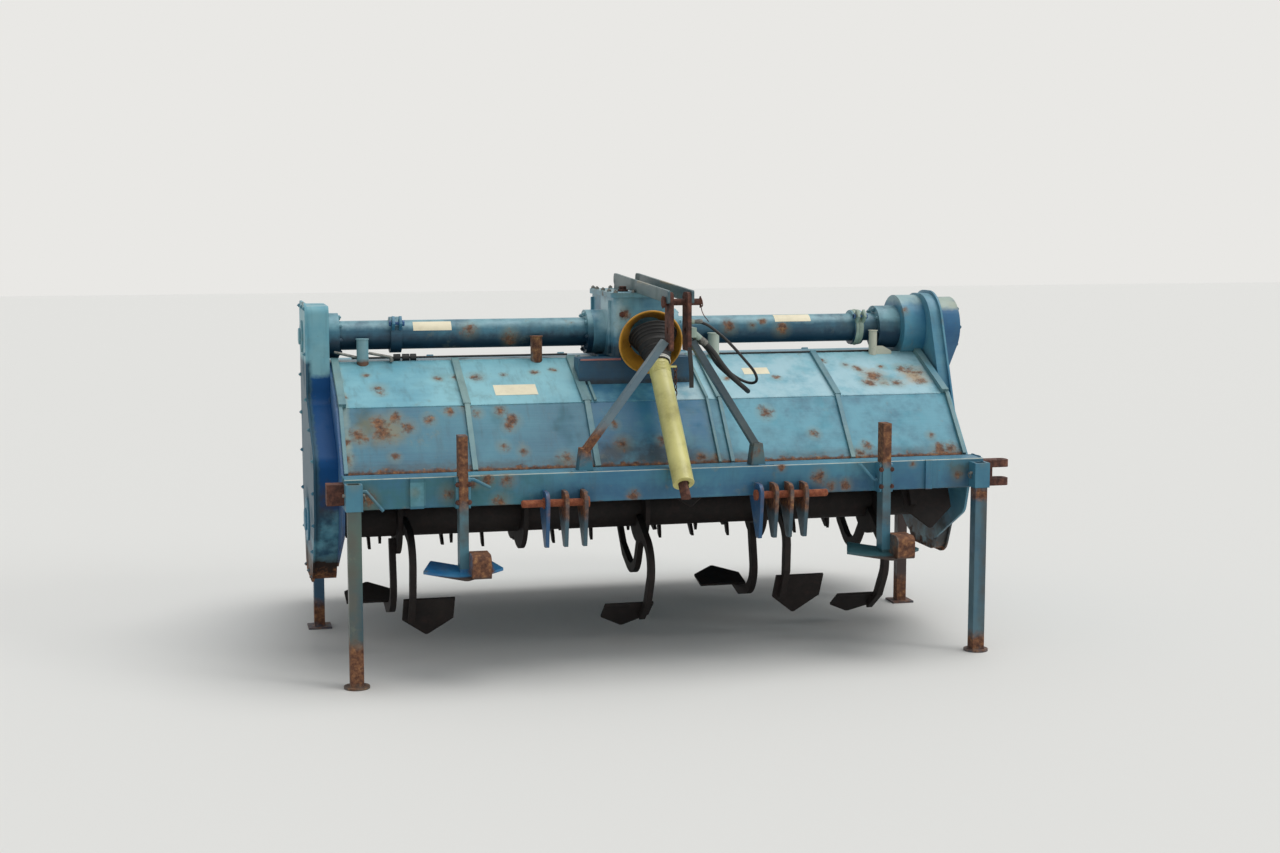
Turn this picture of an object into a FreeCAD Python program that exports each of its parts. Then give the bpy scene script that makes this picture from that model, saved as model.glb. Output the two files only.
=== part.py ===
import FreeCAD, Part
import math
import os
import Sketcher

# Rotavator for a tractor's three-point hitch, seen from the tractor's side.
# X runs to the right across the machine, Y to its rear, Z up from the floor.
# Lengths are in millimetres. Before the last step X = 0 is the middle of the
# front beam and Y = 0 is the line of the two front stands.

Vector = FreeCAD.Vector
Rotation = FreeCAD.Rotation
AXIS_X = Vector(1, 0, 0)
AXIS_Y = Vector(0, 1, 0)
AXIS_Z = Vector(0, 0, 1)

os.makedirs("parts", exist_ok=True)
doc = FreeCAD.newDocument("Rotavator")
sheet = doc.addObject("Spreadsheet::Sheet", "Sizes")

# Columns: name, size
SIZES = [
    # front beam
    ("beamHalf", 1230), ("beamFront", 30), ("beamDepth", 110),
    ("beamBottom", 640), ("beamHeight", 113), ("beamRound", 6),
    # lower hitch
    ("lugThick", 14), ("lugTop", 690), ("lugTip", 485), ("lugReach", 82),
    ("lugHeel", 62), ("lugTipWide", 26),
    ("lugLeftStart", -512), ("lugLeftStep", 71), ("lugLeftCount", 3),
    ("lugRightStart", 300), ("lugRightStep", 59), ("lugRightCount", 4),
    ("hitchPinRadius", 14), ("hitchPinRise", 8), ("hitchPinAhead", 42),
    ("hitchPinStub", 76), ("hitchCollarLong", 5), ("hitchPinHead", 20), ("hitchHeadLong", 10),
    # headstock
    ("headX", 13), ("headGap", 54), ("headThick", 14), ("headFront", 30),
    ("headDepth", 80), ("headTop", 1407), ("headBottom", 1190),
    ("topPinRadius", 12.5), ("topPinZ", 1370), ("topPinOver", 60),
    ("spareHoleDrop", 105),
    ("legFootLeft", 345), ("legFootRight", 320), ("legFootZ", 822), ("legWide", 25),
    ("legDeep", 40),
    ("legPlateHalf", 28),
    ("braceThick", 10), ("braceTall", 48), ("braceFrontZ", 1414),
    ("braceRearZ", 1449), ("braceRearY", 905),
    # tines in front of the beam
    ("tineX", 810), ("tineWide", 33), ("tineDeep", 58), ("tineTop", 905),
    ("tineFoot", 421), ("shareLow", 390), ("holderThick", 10), ("shareHalf", 147),
    ("shareNose", 104), ("shareTail", 118), ("shareThick", 10), ("shareTilt", 8),
    ("shareBlockWide", 70), ("shareBlockLong", 118), ("shareBlockTall", 82),
    # stands
    ("frontStandX", "=beamHalf - 29"), ("frontStandWide", 48), ("frontStandTop", 741),
    ("frontSleeveTall", 96), ("rearStandWide", 42),
    ("rearLeftY", 1030), ("rearRightY", 930), ("rearStandTop", 905),
    ("rearSleeveTall", 120), ("standWall", 5), ("footRadius", 47),
    ("footThick", 8), ("sleeveWall", 6),
    # side plates and hood
    ("plateInner", 1218), ("plateThick", 10),
    ("hoodThick", 5), ("hoodFootY", 170), ("hoodFootZ", 749),
    ("hoodCreaseY", 361), ("hoodCreaseZ", 975),
    ("hoodTopY", 669), ("hoodTopZ", 1120),
    ("hoodBackY", 905), ("railDeep", 100), ("railY", 480),
    ("railLeft", 275), ("railRight", 180),
    # cross tube and gearbox
    ("tubeY", 750), ("tubeZ", 1220), ("tubeRadius", 57),
    ("tubeFlange", 88), ("collarRadius", 71), ("collarLong", 44),
    ("collarX", 960), ("flangeThick", 22), ("leftFlangeLong", 46), ("rightFlangeLong", 92),
    ("boxLeft", 125), ("boxRight", 110), ("boxFront", 520), ("boxDeep", 420),
    ("basePlate", 12), ("boxTop", 1366), ("boxLid", 19), ("boxFlange", 50), ("boxRound", 26),
    ("inputX", 0), ("inputZ", 1212), ("inputFace", 455),
    ("inputRadius", 80),
    # drive cases
    ("leftCaseWide", 92), ("caseTop", 1342), ("caseTopFront", 600),
    ("caseTopBack", 880), ("caseFloor", 308),
    ("rightCaseWide", 50), ("rightHead", 95), ("rightHeadRadius", 132),
    ("caseRim", 12), ("caseRimDeep", 8),
    ("rearCaseInner", 1300), ("rearCaseWide", 85), ("rearCaseTop", 122),
    ("rearCaseLow", 92),
    # main rotor
    ("rotorY", 620), ("rotorZ", 520), ("rotorTube", 80),
    ("rotorHalf", 1178), ("stubRadius", 32), ("bearingRadius", 92),
    ("bearingLong", 30),
    ("discRadius", 150), ("discThick", 18), ("discStep", 490),
    ("armWide", 40), ("armThick", 24), ("armReach", 376), ("armRun", 233), ("armBend", 130),
    ("armFoot", 96), ("armFootThick", 24),
    ("spadeSide", 87), ("spadeWide", 196), ("spadeEdge", 105),
    ("spadeThick", 9), ("spadeLong", 191), ("spadeRise", 25),
    # rear rotor and its cover
    ("rearY", 1350), ("rearZ", 470), ("rearTube", 70), ("rearHalf", 1165),
    ("hookRadius", 220), ("hookThick", 12), ("hookRoot", 34),
    ("hookStep", 62), ("hookCount", 36), ("hookTurn", 47), ("hooksRound", 3),
    ("boardHingeY", 1602), ("boardHingeZ", 640), ("boardDrop", 360),
    ("boardThick", 8), ("boardRod", 9), ("boardSwing", 6),
    # drive shaft
    ("jointY", 385), ("jointZ", 1206),
    ("guardRadius", 40), ("guardStart", 96), ("guardLong", 572),
    ("guardWall", 4), ("profileLong", 60), ("profileRadius", 21),
    ("profileRound", 8),
    ("bellRadius", 66), ("bellStart", 26), ("coneRadius", 126), ("coneShift", 14),
    ("coneRimY", 376), ("coneDrop", 6), ("coneTilt", 12), ("coneWall", 4),
    ("earInner", 18), ("earThick", 12), ("earHalf", 20),
    ("crossRadius", 9), ("crossBlock", 17), ("inputShaftRadius", 20),
    # fittings on the hood and on the beam
    ("postTop", 1212), ("postY", 662), ("postCap", 3), ("pipeRadius", 4), ("couplerRadius", 14),
    ("padThick", 10), ("handleRadius", 6), ("handleReach", 74),
    ("clevisWide", 62), ("clevisLong", 118), ("clevisTall", 100), ("clevisArm", 28),
    ("clevisBore", 12.8), ("endPlateLong", 62), ("endPlateTall", 76),
    # hydraulic hoses on the headstock
    ("hoseThick", 9), ("hoseThin", 5.5), ("socketRadius", 13), ("socketLong", 34),
    # running clearance
    ("gap", 0.3),
]

for row, (name, value) in enumerate(SIZES, start=1):
    sheet.set("A%d" % row, name)
    sheet.set("B%d" % row, str(value))
    sheet.setAlias("B%d" % row, name)
doc.recompute()


def size(name):
    return float(sheet.get(name))


# Places worked out from the sizes
beamTop = size("beamBottom") + size("beamHeight")
beamBack = size("beamFront") + size("beamDepth")
plateOuter = size("plateInner") + size("plateThick")
rearStandX = plateOuter + size("sleeveWall") + size("gap") + size("rearStandWide") / 2
frontStandY = size("beamFront") - size("frontStandWide") / 2 - size("gap") - size("sleeveWall")
hitchPinY = size("beamFront") - size("hitchPinAhead")
hitchPinZ = size("beamBottom") + size("hitchPinRise")
rotorCentre = (size("rotorY"), size("rotorZ"))
boxBase = size("hoodTopZ") + size("basePlate")
rearCentre = (size("rearY"), size("rearZ"))
tubeCentre = (size("tubeY"), size("tubeZ"))

nodes = []


def node(label, made):
    made.Label = label
    nodes.append(made)
    return made


def bind(made, **sizes):
    for prop, formula in sizes.items():
        made.setExpression(prop, formula)


def feature(label, shape):
    made = doc.addObject("Part::Feature", label)
    made.Shape = shape
    return node(label, made)


# An outline is a list of (a, b) or (a, b, corner radius)
def outlineEdges(points):
    corners = []
    for i, point in enumerate(points):
        here = Vector(point[0], point[1], 0)
        radius = point[2] if len(point) > 2 else 0
        if not radius:
            corners.append((here, here, None))
            continue
        before = Vector(points[i - 1][0], points[i - 1][1], 0) - here
        following = points[(i + 1) % len(points)]
        after = Vector(following[0], following[1], 0) - here
        before.normalize()
        after.normalize()
        half = before.getAngle(after) / 2
        reach = radius / math.tan(half)
        inward = before + after
        inward.normalize()
        middle = here + inward * (radius / math.sin(half) - radius)
        corners.append((here + before * reach, here + after * reach, middle))
    edges = []
    for i, (start, end, middle) in enumerate(corners):
        if middle:
            edges.append(Part.Arc(start, middle, end))
        onward = corners[(i + 1) % len(corners)][0]
        if end.distanceToPoint(onward) > 0.001:
            edges.append(Part.LineSegment(end, onward))
    return edges


def outlineFace(points):
    wire = Part.Wire([edge.toShape() for edge in outlineEdges(points)])
    return Part.Face(wire)


# Turns a face drawn as (Y, Z) into a plate that starts at x
def plateAcross(points, x, thick, holes=()):
    face = outlineFace(points)
    solid = face.extrude(Vector(0, 0, thick))
    for y, z, radius in holes:
        drill = Part.makeCylinder(radius, thick + 2, Vector(y, z, -1))
        solid = solid.cut(drill)
    solid.Placement = FreeCAD.Placement(Vector(x, 0, 0), Rotation(AXIS_Y, AXIS_Z, AXIS_X))
    return solid


def originPlane(body, role):
    return [item for item in body.Origin.OriginFeatures if item.Role == role][0]


def newBody(label):
    body = doc.addObject("PartDesign::Body", label)
    body.AllowCompound = True
    return node(label, body)


def newSketch(body, role, name):
    sketch = body.newObject("Sketcher::SketchObject", name)
    sketch.AttachmentSupport = [(originPlane(body, role), "")]
    sketch.MapMode = "FlatFace"
    return sketch


def drawOutline(sketch, points):
    sketch.addGeometry(outlineEdges(points), False)


# A circle whose radius follows a formula of named sizes
def drawCircle(sketch, a, b, formula):
    index = sketch.addGeometry(Part.Circle(Vector(a, b, 0), AXIS_Z, 1), False)
    rule = sketch.addConstraint(Sketcher.Constraint("Radius", index, 1))
    sketch.setExpression("Constraints[%d]" % rule, formula)
    sketch.addConstraint(Sketcher.Constraint("DistanceX", -1, 1, index, 3, a))
    sketch.addConstraint(Sketcher.Constraint("DistanceY", -1, 1, index, 3, b))


# A rectangle from (a, b), its width and height bound to named sizes
def drawRectangle(sketch, a, b, wideName, tallName):
    wide, tall = size(wideName), size(tallName)
    corners = [(a, b), (a + wide, b), (a + wide, b + tall), (a, b + tall)]
    lines = []
    for i in range(4):
        start = Vector(corners[i][0], corners[i][1], 0)
        end = Vector(corners[(i + 1) % 4][0], corners[(i + 1) % 4][1], 0)
        lines.append(sketch.addGeometry(Part.LineSegment(start, end), False))
    for i in range(4):
        sketch.addConstraint(Sketcher.Constraint("Coincident", lines[i], 2, lines[(i + 1) % 4], 1))
    for i, kind in enumerate(("Horizontal", "Vertical", "Horizontal", "Vertical")):
        sketch.addConstraint(Sketcher.Constraint(kind, lines[i]))
    across = sketch.addConstraint(Sketcher.Constraint("DistanceX", lines[0], 1, lines[0], 2, wide))
    up = sketch.addConstraint(Sketcher.Constraint("DistanceY", lines[1], 1, lines[1], 2, tall))
    sketch.setExpression("Constraints[%d]" % across, "Sizes." + wideName)
    sketch.setExpression("Constraints[%d]" % up, "Sizes." + tallName)
    sketch.addConstraint(Sketcher.Constraint("DistanceX", -1, 1, lines[0], 1, a))
    sketch.addConstraint(Sketcher.Constraint("DistanceY", -1, 1, lines[0], 1, b))


# A padded profile drawn as (Y, Z), x is the face nearest the left end
def plateBody(label, points, x, thickFormula, holes=()):
    body = newBody(label)
    sketch = newSketch(body, "YZ_Plane", label + "_profile")
    drawOutline(sketch, points)
    for y, z, formula in holes:
        drawCircle(sketch, y, z, formula)
    pad = body.newObject("PartDesign::Pad", label + "_pad")
    pad.Profile = sketch
    pad.setExpression("Length", thickFormula)
    body.Placement = FreeCAD.Placement(Vector(x, 0, 0), Rotation())
    return body


# A turned piece: profile of (along, radius), along X from the given point
def turned(label, profile, at, direction=AXIS_X):
    body = newBody(label)
    sketch = newSketch(body, "XY_Plane", label + "_profile")
    drawOutline(sketch, profile)
    turn = body.newObject("PartDesign::Revolution", label + "_turn")
    turn.Profile = sketch
    turn.ReferenceAxis = (sketch, ["H_Axis"])
    turn.Angle = 360
    body.Placement = FreeCAD.Placement(at, Rotation(AXIS_X, direction))
    return body


def block(x0, y0, z0, x1, y1, z1):
    return Part.makeBox(x1 - x0, y1 - y0, z1 - z0, Vector(x0, y0, z0))


def joined(solids):
    whole = solids[0].multiFuse(solids[1:])
    return whole.removeSplitter()


def rod(start, end, radius):
    return Part.makeCylinder(radius, (end - start).Length, start, end - start)


# Front beam: a closed box section with rounded long edges
def makeBeam():
    body = newBody("front_beam")
    sketch = newSketch(body, "YZ_Plane", "beam_section")
    drawRectangle(sketch, size("beamFront"), size("beamBottom"), "beamDepth", "beamHeight")
    pad = body.newObject("PartDesign::Pad", "beam_pad")
    pad.Profile = sketch
    pad.Midplane = True
    bind(pad, Length="Sizes.beamHalf * 2")
    doc.recompute()
    long_edges = []
    for i, edge in enumerate(pad.Shape.Edges, start=1):
        if edge.Length > size("beamHalf"):
            long_edges.append("Edge%d" % i)
    fillet = body.newObject("PartDesign::Fillet", "beam_round")
    fillet.Base = (pad, long_edges)
    bind(fillet, Radius="Sizes.beamRound")


# Hitch lugs: pointed plates on the beam's front face, evenly spaced
def makeLugs(label, side):
    front = size("beamFront") - size("lugReach")
    face = size("beamFront")
    bottom = size("beamBottom")
    tip = size("lugTip")
    outline = [
        (face, size("lugTop")),
        (face, bottom),
        (face + size("lugHeel"), bottom),
        (face - size("lugTipWide"), tip, 10),
        (face - size("lugTipWide") * 2.2, tip, 6),
        (front, bottom, 60),
        (front, size("lugTop"), 34),
    ]
    body = newBody(label)
    sketch = newSketch(body, "YZ_Plane", label + "_profile")
    drawOutline(sketch, outline)
    drawCircle(sketch, hitchPinY, hitchPinZ, "Sizes.hitchPinRadius + Sizes.gap")
    pad = body.newObject("PartDesign::Pad", label + "_pad")
    pad.Profile = sketch
    bind(pad, Length="Sizes.lugThick")
    row = body.newObject("PartDesign::LinearPattern", label + "_row")
    row.Originals = [pad]
    row.Direction = (originPlane(body, "X_Axis"), [""])
    bind(row, Occurrences="Sizes.lug%sCount" % side)
    bind(row, Length="Sizes.lug%sStep * (Sizes.lug%sCount - 1)" % (side, side))
    body.Tip = row
    body.Placement = FreeCAD.Placement(Vector(size("lug%sStart" % side), 0, 0), Rotation())


def makeHitchPin(label, side, outward):
    start = size("lug%sStart" % side)
    steps = size("lug%sStep" % side) * (size("lug%sCount" % side) - 1)
    end = start + steps + size("lugThick")
    radius = size("hitchPinRadius")
    head = size("hitchHeadLong")
    collar = head + end - start + size("gap") * 2
    stub = collar + size("hitchCollarLong")
    tip = stub + size("hitchPinStub")
    wide = size("hitchPinHead")
    profile = [
        (0, 0), (0, wide), (head, wide), (head, radius), (collar, radius), (collar, wide),
        (stub, wide), (stub, radius), (tip, radius), (tip + 4, radius - 4), (tip + 4, 0),
    ]
    if outward > 0:
        at = Vector(start - size("gap") - head, hitchPinY, hitchPinZ)
    else:
        at = Vector(end + size("gap") + head, hitchPinY, hitchPinZ)
    turned(label, profile, at, AXIS_X * outward)


def makeHeadstock():
    inner = size("headGap") / 2
    front = size("headFront")
    back = front + size("headDepth")
    middle = front + size("headDepth") / 2
    top = size("headTop")
    outline = [
        (front, size("headBottom"), 10), (back, size("headBottom"), 10),
        (back, top, 22), (front, top, 22),
    ]
    pin = size("topPinRadius") + size("gap")
    holes = [
        (middle, size("topPinZ"), pin),
        (middle, size("topPinZ") - size("spareHoleDrop"), pin),
    ]
    left = size("headX") - inner - size("headThick")
    right = size("headX") + inner
    plates = []
    for x in (left, right):
        plates.append(plateAcross(outline, x, size("headThick"), holes))
    feature("headstock_plates", Part.makeCompound(plates))
    over = size("topPinOver")
    radius = size("topPinRadius")
    long = size("headGap") + size("headThick") * 2 + over
    head = size("hitchHeadLong")
    profile = [
        (0, 0), (0, radius + 8), (head, radius + 8), (head, radius),
        (head + long - 4, radius), (head + long, radius - 4), (head + long, 0),
    ]
    start = left - size("braceThick") - size("gap") - head
    turned("top_link_pin", profile, Vector(start, middle, size("topPinZ")))


# A leg of the headstock: a foot plate on the beam and a sloping bar
def makeLeg(label, side):
    foot = size("legFootRight") if side > 0 else -size("legFootLeft")
    half = size("legPlateHalf")
    inner = size("headX") + side * (size("headGap") / 2 + size("headThick"))
    middleY = size("headFront") + size("headDepth") / 2
    head = Vector(inner + side * size("legWide") * 0.4, 0, size("headBottom") + 36)
    low = Vector(foot, 0, size("legFootZ"))
    along = head - low
    along.normalize()
    across = Vector(along.z, 0, -along.x) * (size("legWide") / 2)
    bar = [low + across, head + across, head - across, low - across]
    wire = Part.makePolygon(bar + [bar[0]])
    solid = Part.Face(wire).extrude(Vector(0, size("legDeep"), 0))
    solid.translate(Vector(0, middleY - size("legDeep") / 2, 0))
    far = inner + side * size("beamHalf")
    outside = block(min(inner, far), 0, beamTop, max(inner, far), beamBack * 2, size("headTop"))
    solid = solid.common(outside)
    plate = [
        Vector(foot - half, 0, beamTop), Vector(foot + half, 0, beamTop),
        Vector(foot + half * 0.6, 0, size("legFootZ") + 14),
        Vector(foot - half * 0.6, 0, size("legFootZ") + 14),
    ]
    wire = Part.makePolygon(plate + [plate[0]])
    foot_plate = Part.Face(wire).extrude(Vector(0, size("legDeep") + 16, 0))
    foot_plate.translate(Vector(0, middleY - size("legDeep") / 2 - 8, 0))
    feature(label, joined([solid, foot_plate]))


# Two flat bars from the headstock back to a seat on the gearbox lid
def makeBraces():
    front = size("headFront")
    rear = size("braceRearY")
    tall = size("braceTall")
    low = size("braceFrontZ") - tall
    outline = [
        (front, low, 8), (rear, size("braceRearZ") - tall, 20),
        (rear, size("braceRearZ"), 20), (front, size("braceFrontZ"), 8),
    ]
    middle = front + size("headDepth") / 2
    holes = [(middle, size("topPinZ"), size("topPinRadius") + size("gap"))]
    inner = size("headGap") / 2 + size("headThick")
    left = size("headX") - inner - size("braceThick")
    right = size("headX") + inner
    pieces = []
    for x in (left, right):
        pieces.append(plateAcross(outline, x, size("braceThick"), holes))
    slope = (size("braceRearZ") - size("braceFrontZ")) / (rear - front)
    seatBack = rear - size("braceThick")
    seatFront = seatBack - size("headDepth")
    lidTop = size("boxTop") + size("boxLid")
    seat = [
        (seatFront, lidTop), (seatBack, lidTop),
        (seatBack, low + (seatBack - front) * slope), (seatFront, low + (seatFront - front) * slope),
    ]
    pieces.append(plateAcross(seat, left, right + size("braceThick") - left))
    feature("headstock_braces", Part.makeCompound(pieces))


def makeTine(label, side, cheeks):
    x = size("tineX") * side
    half = size("tineWide") / 2
    front = size("beamFront") - size("tineDeep")
    thick = size("holderThick")
    made = doc.addObject("Part::Box", label)
    bind(made, Length="Sizes.tineWide", Width="Sizes.tineDeep", Height="Sizes.tineTop - Sizes.tineFoot")
    made.Placement = FreeCAD.Placement(Vector(x - half, front, size("tineFoot")), Rotation())
    node(label, made)
    for inner in (x - half - thick, x + half):
        outline = [
            (size("beamFront"), size("beamBottom")), (size("beamFront"), beamTop),
            (front + 6, beamTop, 12), (front + 6, size("beamBottom"), 12),
        ]
        cheeks.append(plateAcross(outline, inner, thick))


# The share on a tine: two swept wings that rise to the rear, and beside the
# tine the block that clamps them
def makeShare(label, side):
    half = size("shareHalf")
    nose = -size("shareNose")
    tail = size("shareTail")
    wing = [
        (0, nose, 20), (half, 0, 4), (half - 42, tail, 6), (0, tail - 74, 30),
        (42 - half, tail, 6), (-half, 0, 4),
    ]
    plate = outlineFace(wing).extrude(Vector(0, 0, size("shareThick")))
    plate.rotate(Vector(0, nose, 0), AXIS_X, size("shareTilt"))
    x = size("tineX") * side
    middle = size("beamFront") - size("tineDeep") / 2
    low = size("shareLow")
    plate.translate(Vector(x, middle, low))
    inner = size("tineWide") / 2
    back = middle + 9
    front = back - size("shareBlockLong")
    top = low + size("shareBlockTall") + size("shareThick")
    cheek = [(front, low + 6, 12), (back, low, 4), (back, top, 16), (front, top, 26)]
    lump = plateAcross(cheek, x + inner, size("shareBlockWide"))
    bar = block(x - inner, middle - size("tineDeep") / 2, low, x + inner,
                middle + size("tineDeep") / 2, top)
    shank = bar.cut(block(x - inner - 1, -500, size("tineFoot"), x + inner + 1, 500, top + 1))
    feature(label, joined([plate, lump, shank]))


# A stand: square tube on a round or square foot
def standSolid(x, y, wideName, top, roundFoot):
    wide = size(wideName)
    wall = size("standWall")
    foot = size("footThick")
    outer = block(x - wide / 2, y - wide / 2, foot, x + wide / 2, y + wide / 2, top)
    inner = block(x - wide / 2 + wall, y - wide / 2 + wall, foot, x + wide / 2 - wall,
                  y + wide / 2 - wall, top + 1)
    if roundFoot:
        sole = Part.makeCylinder(size("footRadius"), foot, Vector(x, y, 0))
    else:
        reach = size("footRadius")
        sole = block(x - reach, y - reach, 0, x + reach, y + reach, foot)
    return joined([outer.cut(inner), sole])


def sleeveSolid(x, y, wideName, low, tall, plateFrom, plateTo):
    wide = size(wideName) + size("gap") * 2
    wall = size("sleeveWall")
    reach = wide / 2 + wall
    outer = block(x - reach, y - reach, low, x + reach, y + reach, low + tall)
    hole = block(x - wide / 2, y - wide / 2, low - 1, x + wide / 2, y + wide / 2, low + tall + 1)
    tab = block(plateFrom[0], plateFrom[1], low, plateTo[0], plateTo[1], low + tall)
    return joined([outer, tab]).cut(hole)


def makeStands():
    sleeves = []
    for label, side in (("left", -1), ("right", 1)):
        x = size("frontStandX") * side
        stand = standSolid(x, frontStandY, "frontStandWide", size("frontStandTop"), True)
        feature("front_stand_" + label, stand)
        low = size("frontStandTop") - size("frontSleeveTall")
        sleeves.append(sleeveSolid(x, frontStandY, "frontStandWide", low, size("frontSleeveTall"),
                                   (x - 30, frontStandY), (x + 30, size("beamFront"))))
    # Columns: node, direction, place along the machine
    for label, side, y in (("left", -1, size("rearLeftY")), ("right", 1, size("rearRightY"))):
        x = rearStandX * side
        feature("rear_stand_" + label, standSolid(x, y, "rearStandWide", size("rearStandTop"), False))
        low = size("rearStandTop") - size("rearSleeveTall") - 40
        face = plateOuter * side
        sleeves.append(sleeveSolid(x, y, "rearStandWide", low, size("rearSleeveTall"),
                                   (min(x, face), y - 40), (max(x, face), y + 40)))
    feature("stand_sleeves", Part.makeCompound(sleeves))


# Side plates carry hood, rotor bearings, rear rotor and cases
def sideOutline():
    return [
        (beamBack, size("beamBottom") + 6), (beamBack, beamTop),
        (size("hoodFootY"), size("hoodFootZ")), (size("hoodCreaseY"), size("hoodCreaseZ"), 40),
        (size("hoodTopY"), size("hoodTopZ"), 60), (size("hoodBackY"), size("hoodTopZ"), 90),
        (size("rearY") + 30, size("rearZ") + 300, 120),
        (size("boardHingeY") + 24, size("boardHingeZ") + 40, 24),
        (size("boardHingeY") + 24, size("boardHingeZ") - 24, 24),
        (size("rearY") + 130, size("rearZ") - 110, 90), (size("rearY") - 130, size("rearZ") - 110, 90),
        (size("rotorY") + 330, size("rotorZ") - 20, 120), (size("rotorY") + 130, size("rotorZ") - 170, 90),
        (size("rotorY") - 130, size("rotorZ") - 170, 90), (beamBack + 40, size("beamBottom") - 120, 60),
    ]


def makeSidePlate(label, side):
    hinge = (size("boardHingeY"), size("boardHingeZ"), "Sizes.boardRod + Sizes.gap")
    x = size("plateInner") if side > 0 else -plateOuter
    plateBody(label, sideOutline(), x, "Sizes.plateThick", [hinge])


# The hood's bends from its front foot to its rear edge, as (Y, Z)
def hoodBends():
    return [
        (size("hoodFootY"), size("hoodFootZ")),
        (size("hoodCreaseY"), size("hoodCreaseZ")),
        (size("hoodTopY"), size("hoodTopZ")),
        (size("hoodBackY"), size("hoodTopZ")),
        (size("rearY") + 20, size("rearZ") + 300),
        (size("boardHingeY") - 14, size("boardHingeZ") + 10),
    ]


# The same bends moved inwards by a depth, square to the sheet
def insetBends(bends, depth):
    moved = []
    for i, (y, z) in enumerate(bends):
        before = Vector(y - bends[i - 1][0], z - bends[i - 1][1], 0) if i else None
        after = None
        if i < len(bends) - 1:
            after = Vector(bends[i + 1][0] - y, bends[i + 1][1] - z, 0)
        before = before or after
        after = after or before
        before = Vector(before).normalize()
        after = Vector(after).normalize()
        along = (before + after).normalize()
        inward = Vector(along.y, -along.x, 0)
        reach = depth / inward.dot(Vector(after.y, -after.x, 0))
        moved.append((y + inward.x * reach, z + inward.y * reach))
    return moved


# The hood's panels, and the bars welded on its two front panels
# Columns: middle across the machine, width, height, panel counted from the foot
HOOD_BARS = [
    (-1204, 28, 20, 1), (1204, 28, 20, 1), (-1211, 14, 12, 0), (1211, 14, 12, 0),
    (-736, 28, 12, 1), (-736, 20, 10, 0), (-271, 36, 12, 1), (-271, 22, 10, 0),
    (-238, 10, 12, 1), (749, 24, 12, 1), (746, 18, 10, 0), (207, 10, 12, 1), (207, 10, 10, 0), (258, 24, 12, 1), (258, 14, 10, 0),
]


def hoodBars():
    bars = []
    for middle, wide, tall, panel in HOOD_BARS:
        outer = hoodBends()
        raised = insetBends(outer, -tall)
        outline = [outer[panel], outer[panel + 1], raised[panel + 1], raised[panel]]
        bars.append(plateAcross(outline, middle - wide / 2, wide))
    return bars


def makeHood():
    half = size("plateInner")
    outer = hoodBends()
    inner = insetBends(outer, size("hoodThick"))
    panels = []
    for i in range(len(outer) - 1):
        panels.append([outer[i], outer[i + 1], inner[i + 1], inner[i]])
    for label, outline in zip(("hood_lower", "hood_upper", "hood_top"), panels):
        plateBody(label, outline, -half, "Sizes.plateInner * 2")
    rear = [plateAcross(outline, -half, half * 2) for outline in panels[3:]]
    feature("hood_rear", Part.makeCompound(rear))
    y, z = tubeCentre
    start = plateOuter - size("rightHead") - size("gap")
    head = rod(Vector(start, y, z), Vector(plateOuter, y, z), size("rightHeadRadius") + size("gap"))
    feature("hood_ribs", Part.makeCompound([bar.cut(head) for bar in hoodBars()]))


# The rail under the gearbox stands on the hood and is notched for its bars
def makeRail():
    y = size("railY")
    deep = size("railDeep")
    slope = (size("hoodTopZ") - size("hoodCreaseZ")) / (size("hoodTopY") - size("hoodCreaseY"))
    low = size("hoodCreaseZ") + (y - size("hoodCreaseY")) * slope
    outline = [(y, low), (y + deep, low + deep * slope), (y + deep, boxBase), (y, boxBase)]
    rail = plateAcross(outline, -size("railLeft"), size("railLeft") + size("railRight"))
    rail = rail.cut(Part.makeCompound(hoodBars()))
    plate = block(-size("boxLeft") - 30, size("hoodTopY") + 8, size("hoodTopZ"),
                  size("boxRight") + 30, size("hoodBackY") - 8, boxBase)
    feature("gearbox_rail", Part.makeCompound([rail, plate]))


def makeTubes():
    y, z = tubeCentre
    radius = size("tubeRadius")
    flange = size("tubeFlange")
    thick = size("flangeThick")
    collar = size("collarRadius")
    half = size("collarLong") / 2
    left_end = plateOuter
    left_in = size("boxLeft") + size("boxFlange")
    right_in = size("boxRight") + size("boxFlange")
    right_end = plateOuter - size("rightHead")
    # Columns: node, end at the case, its flange, end at the gearbox, direction
    for label, outer, case_flange, inner, side in (
        ("cross_tube_left", left_end, size("leftFlangeLong"), left_in, -1),
        ("cross_tube_right", right_end, size("rightFlangeLong"), right_in, 1),
    ):
        place = size("collarX")
        profile = [
            (inner, 0), (inner, flange), (inner + thick, flange), (inner + thick, radius),
            (place - half, radius), (place - half, collar), (place + half, collar),
            (place + half, radius), (outer - case_flange, radius), (outer - case_flange, flange),
            (outer, flange), (outer, 0),
        ]
        turned(label, profile, Vector(0, y, z), AXIS_X * side)


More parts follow.
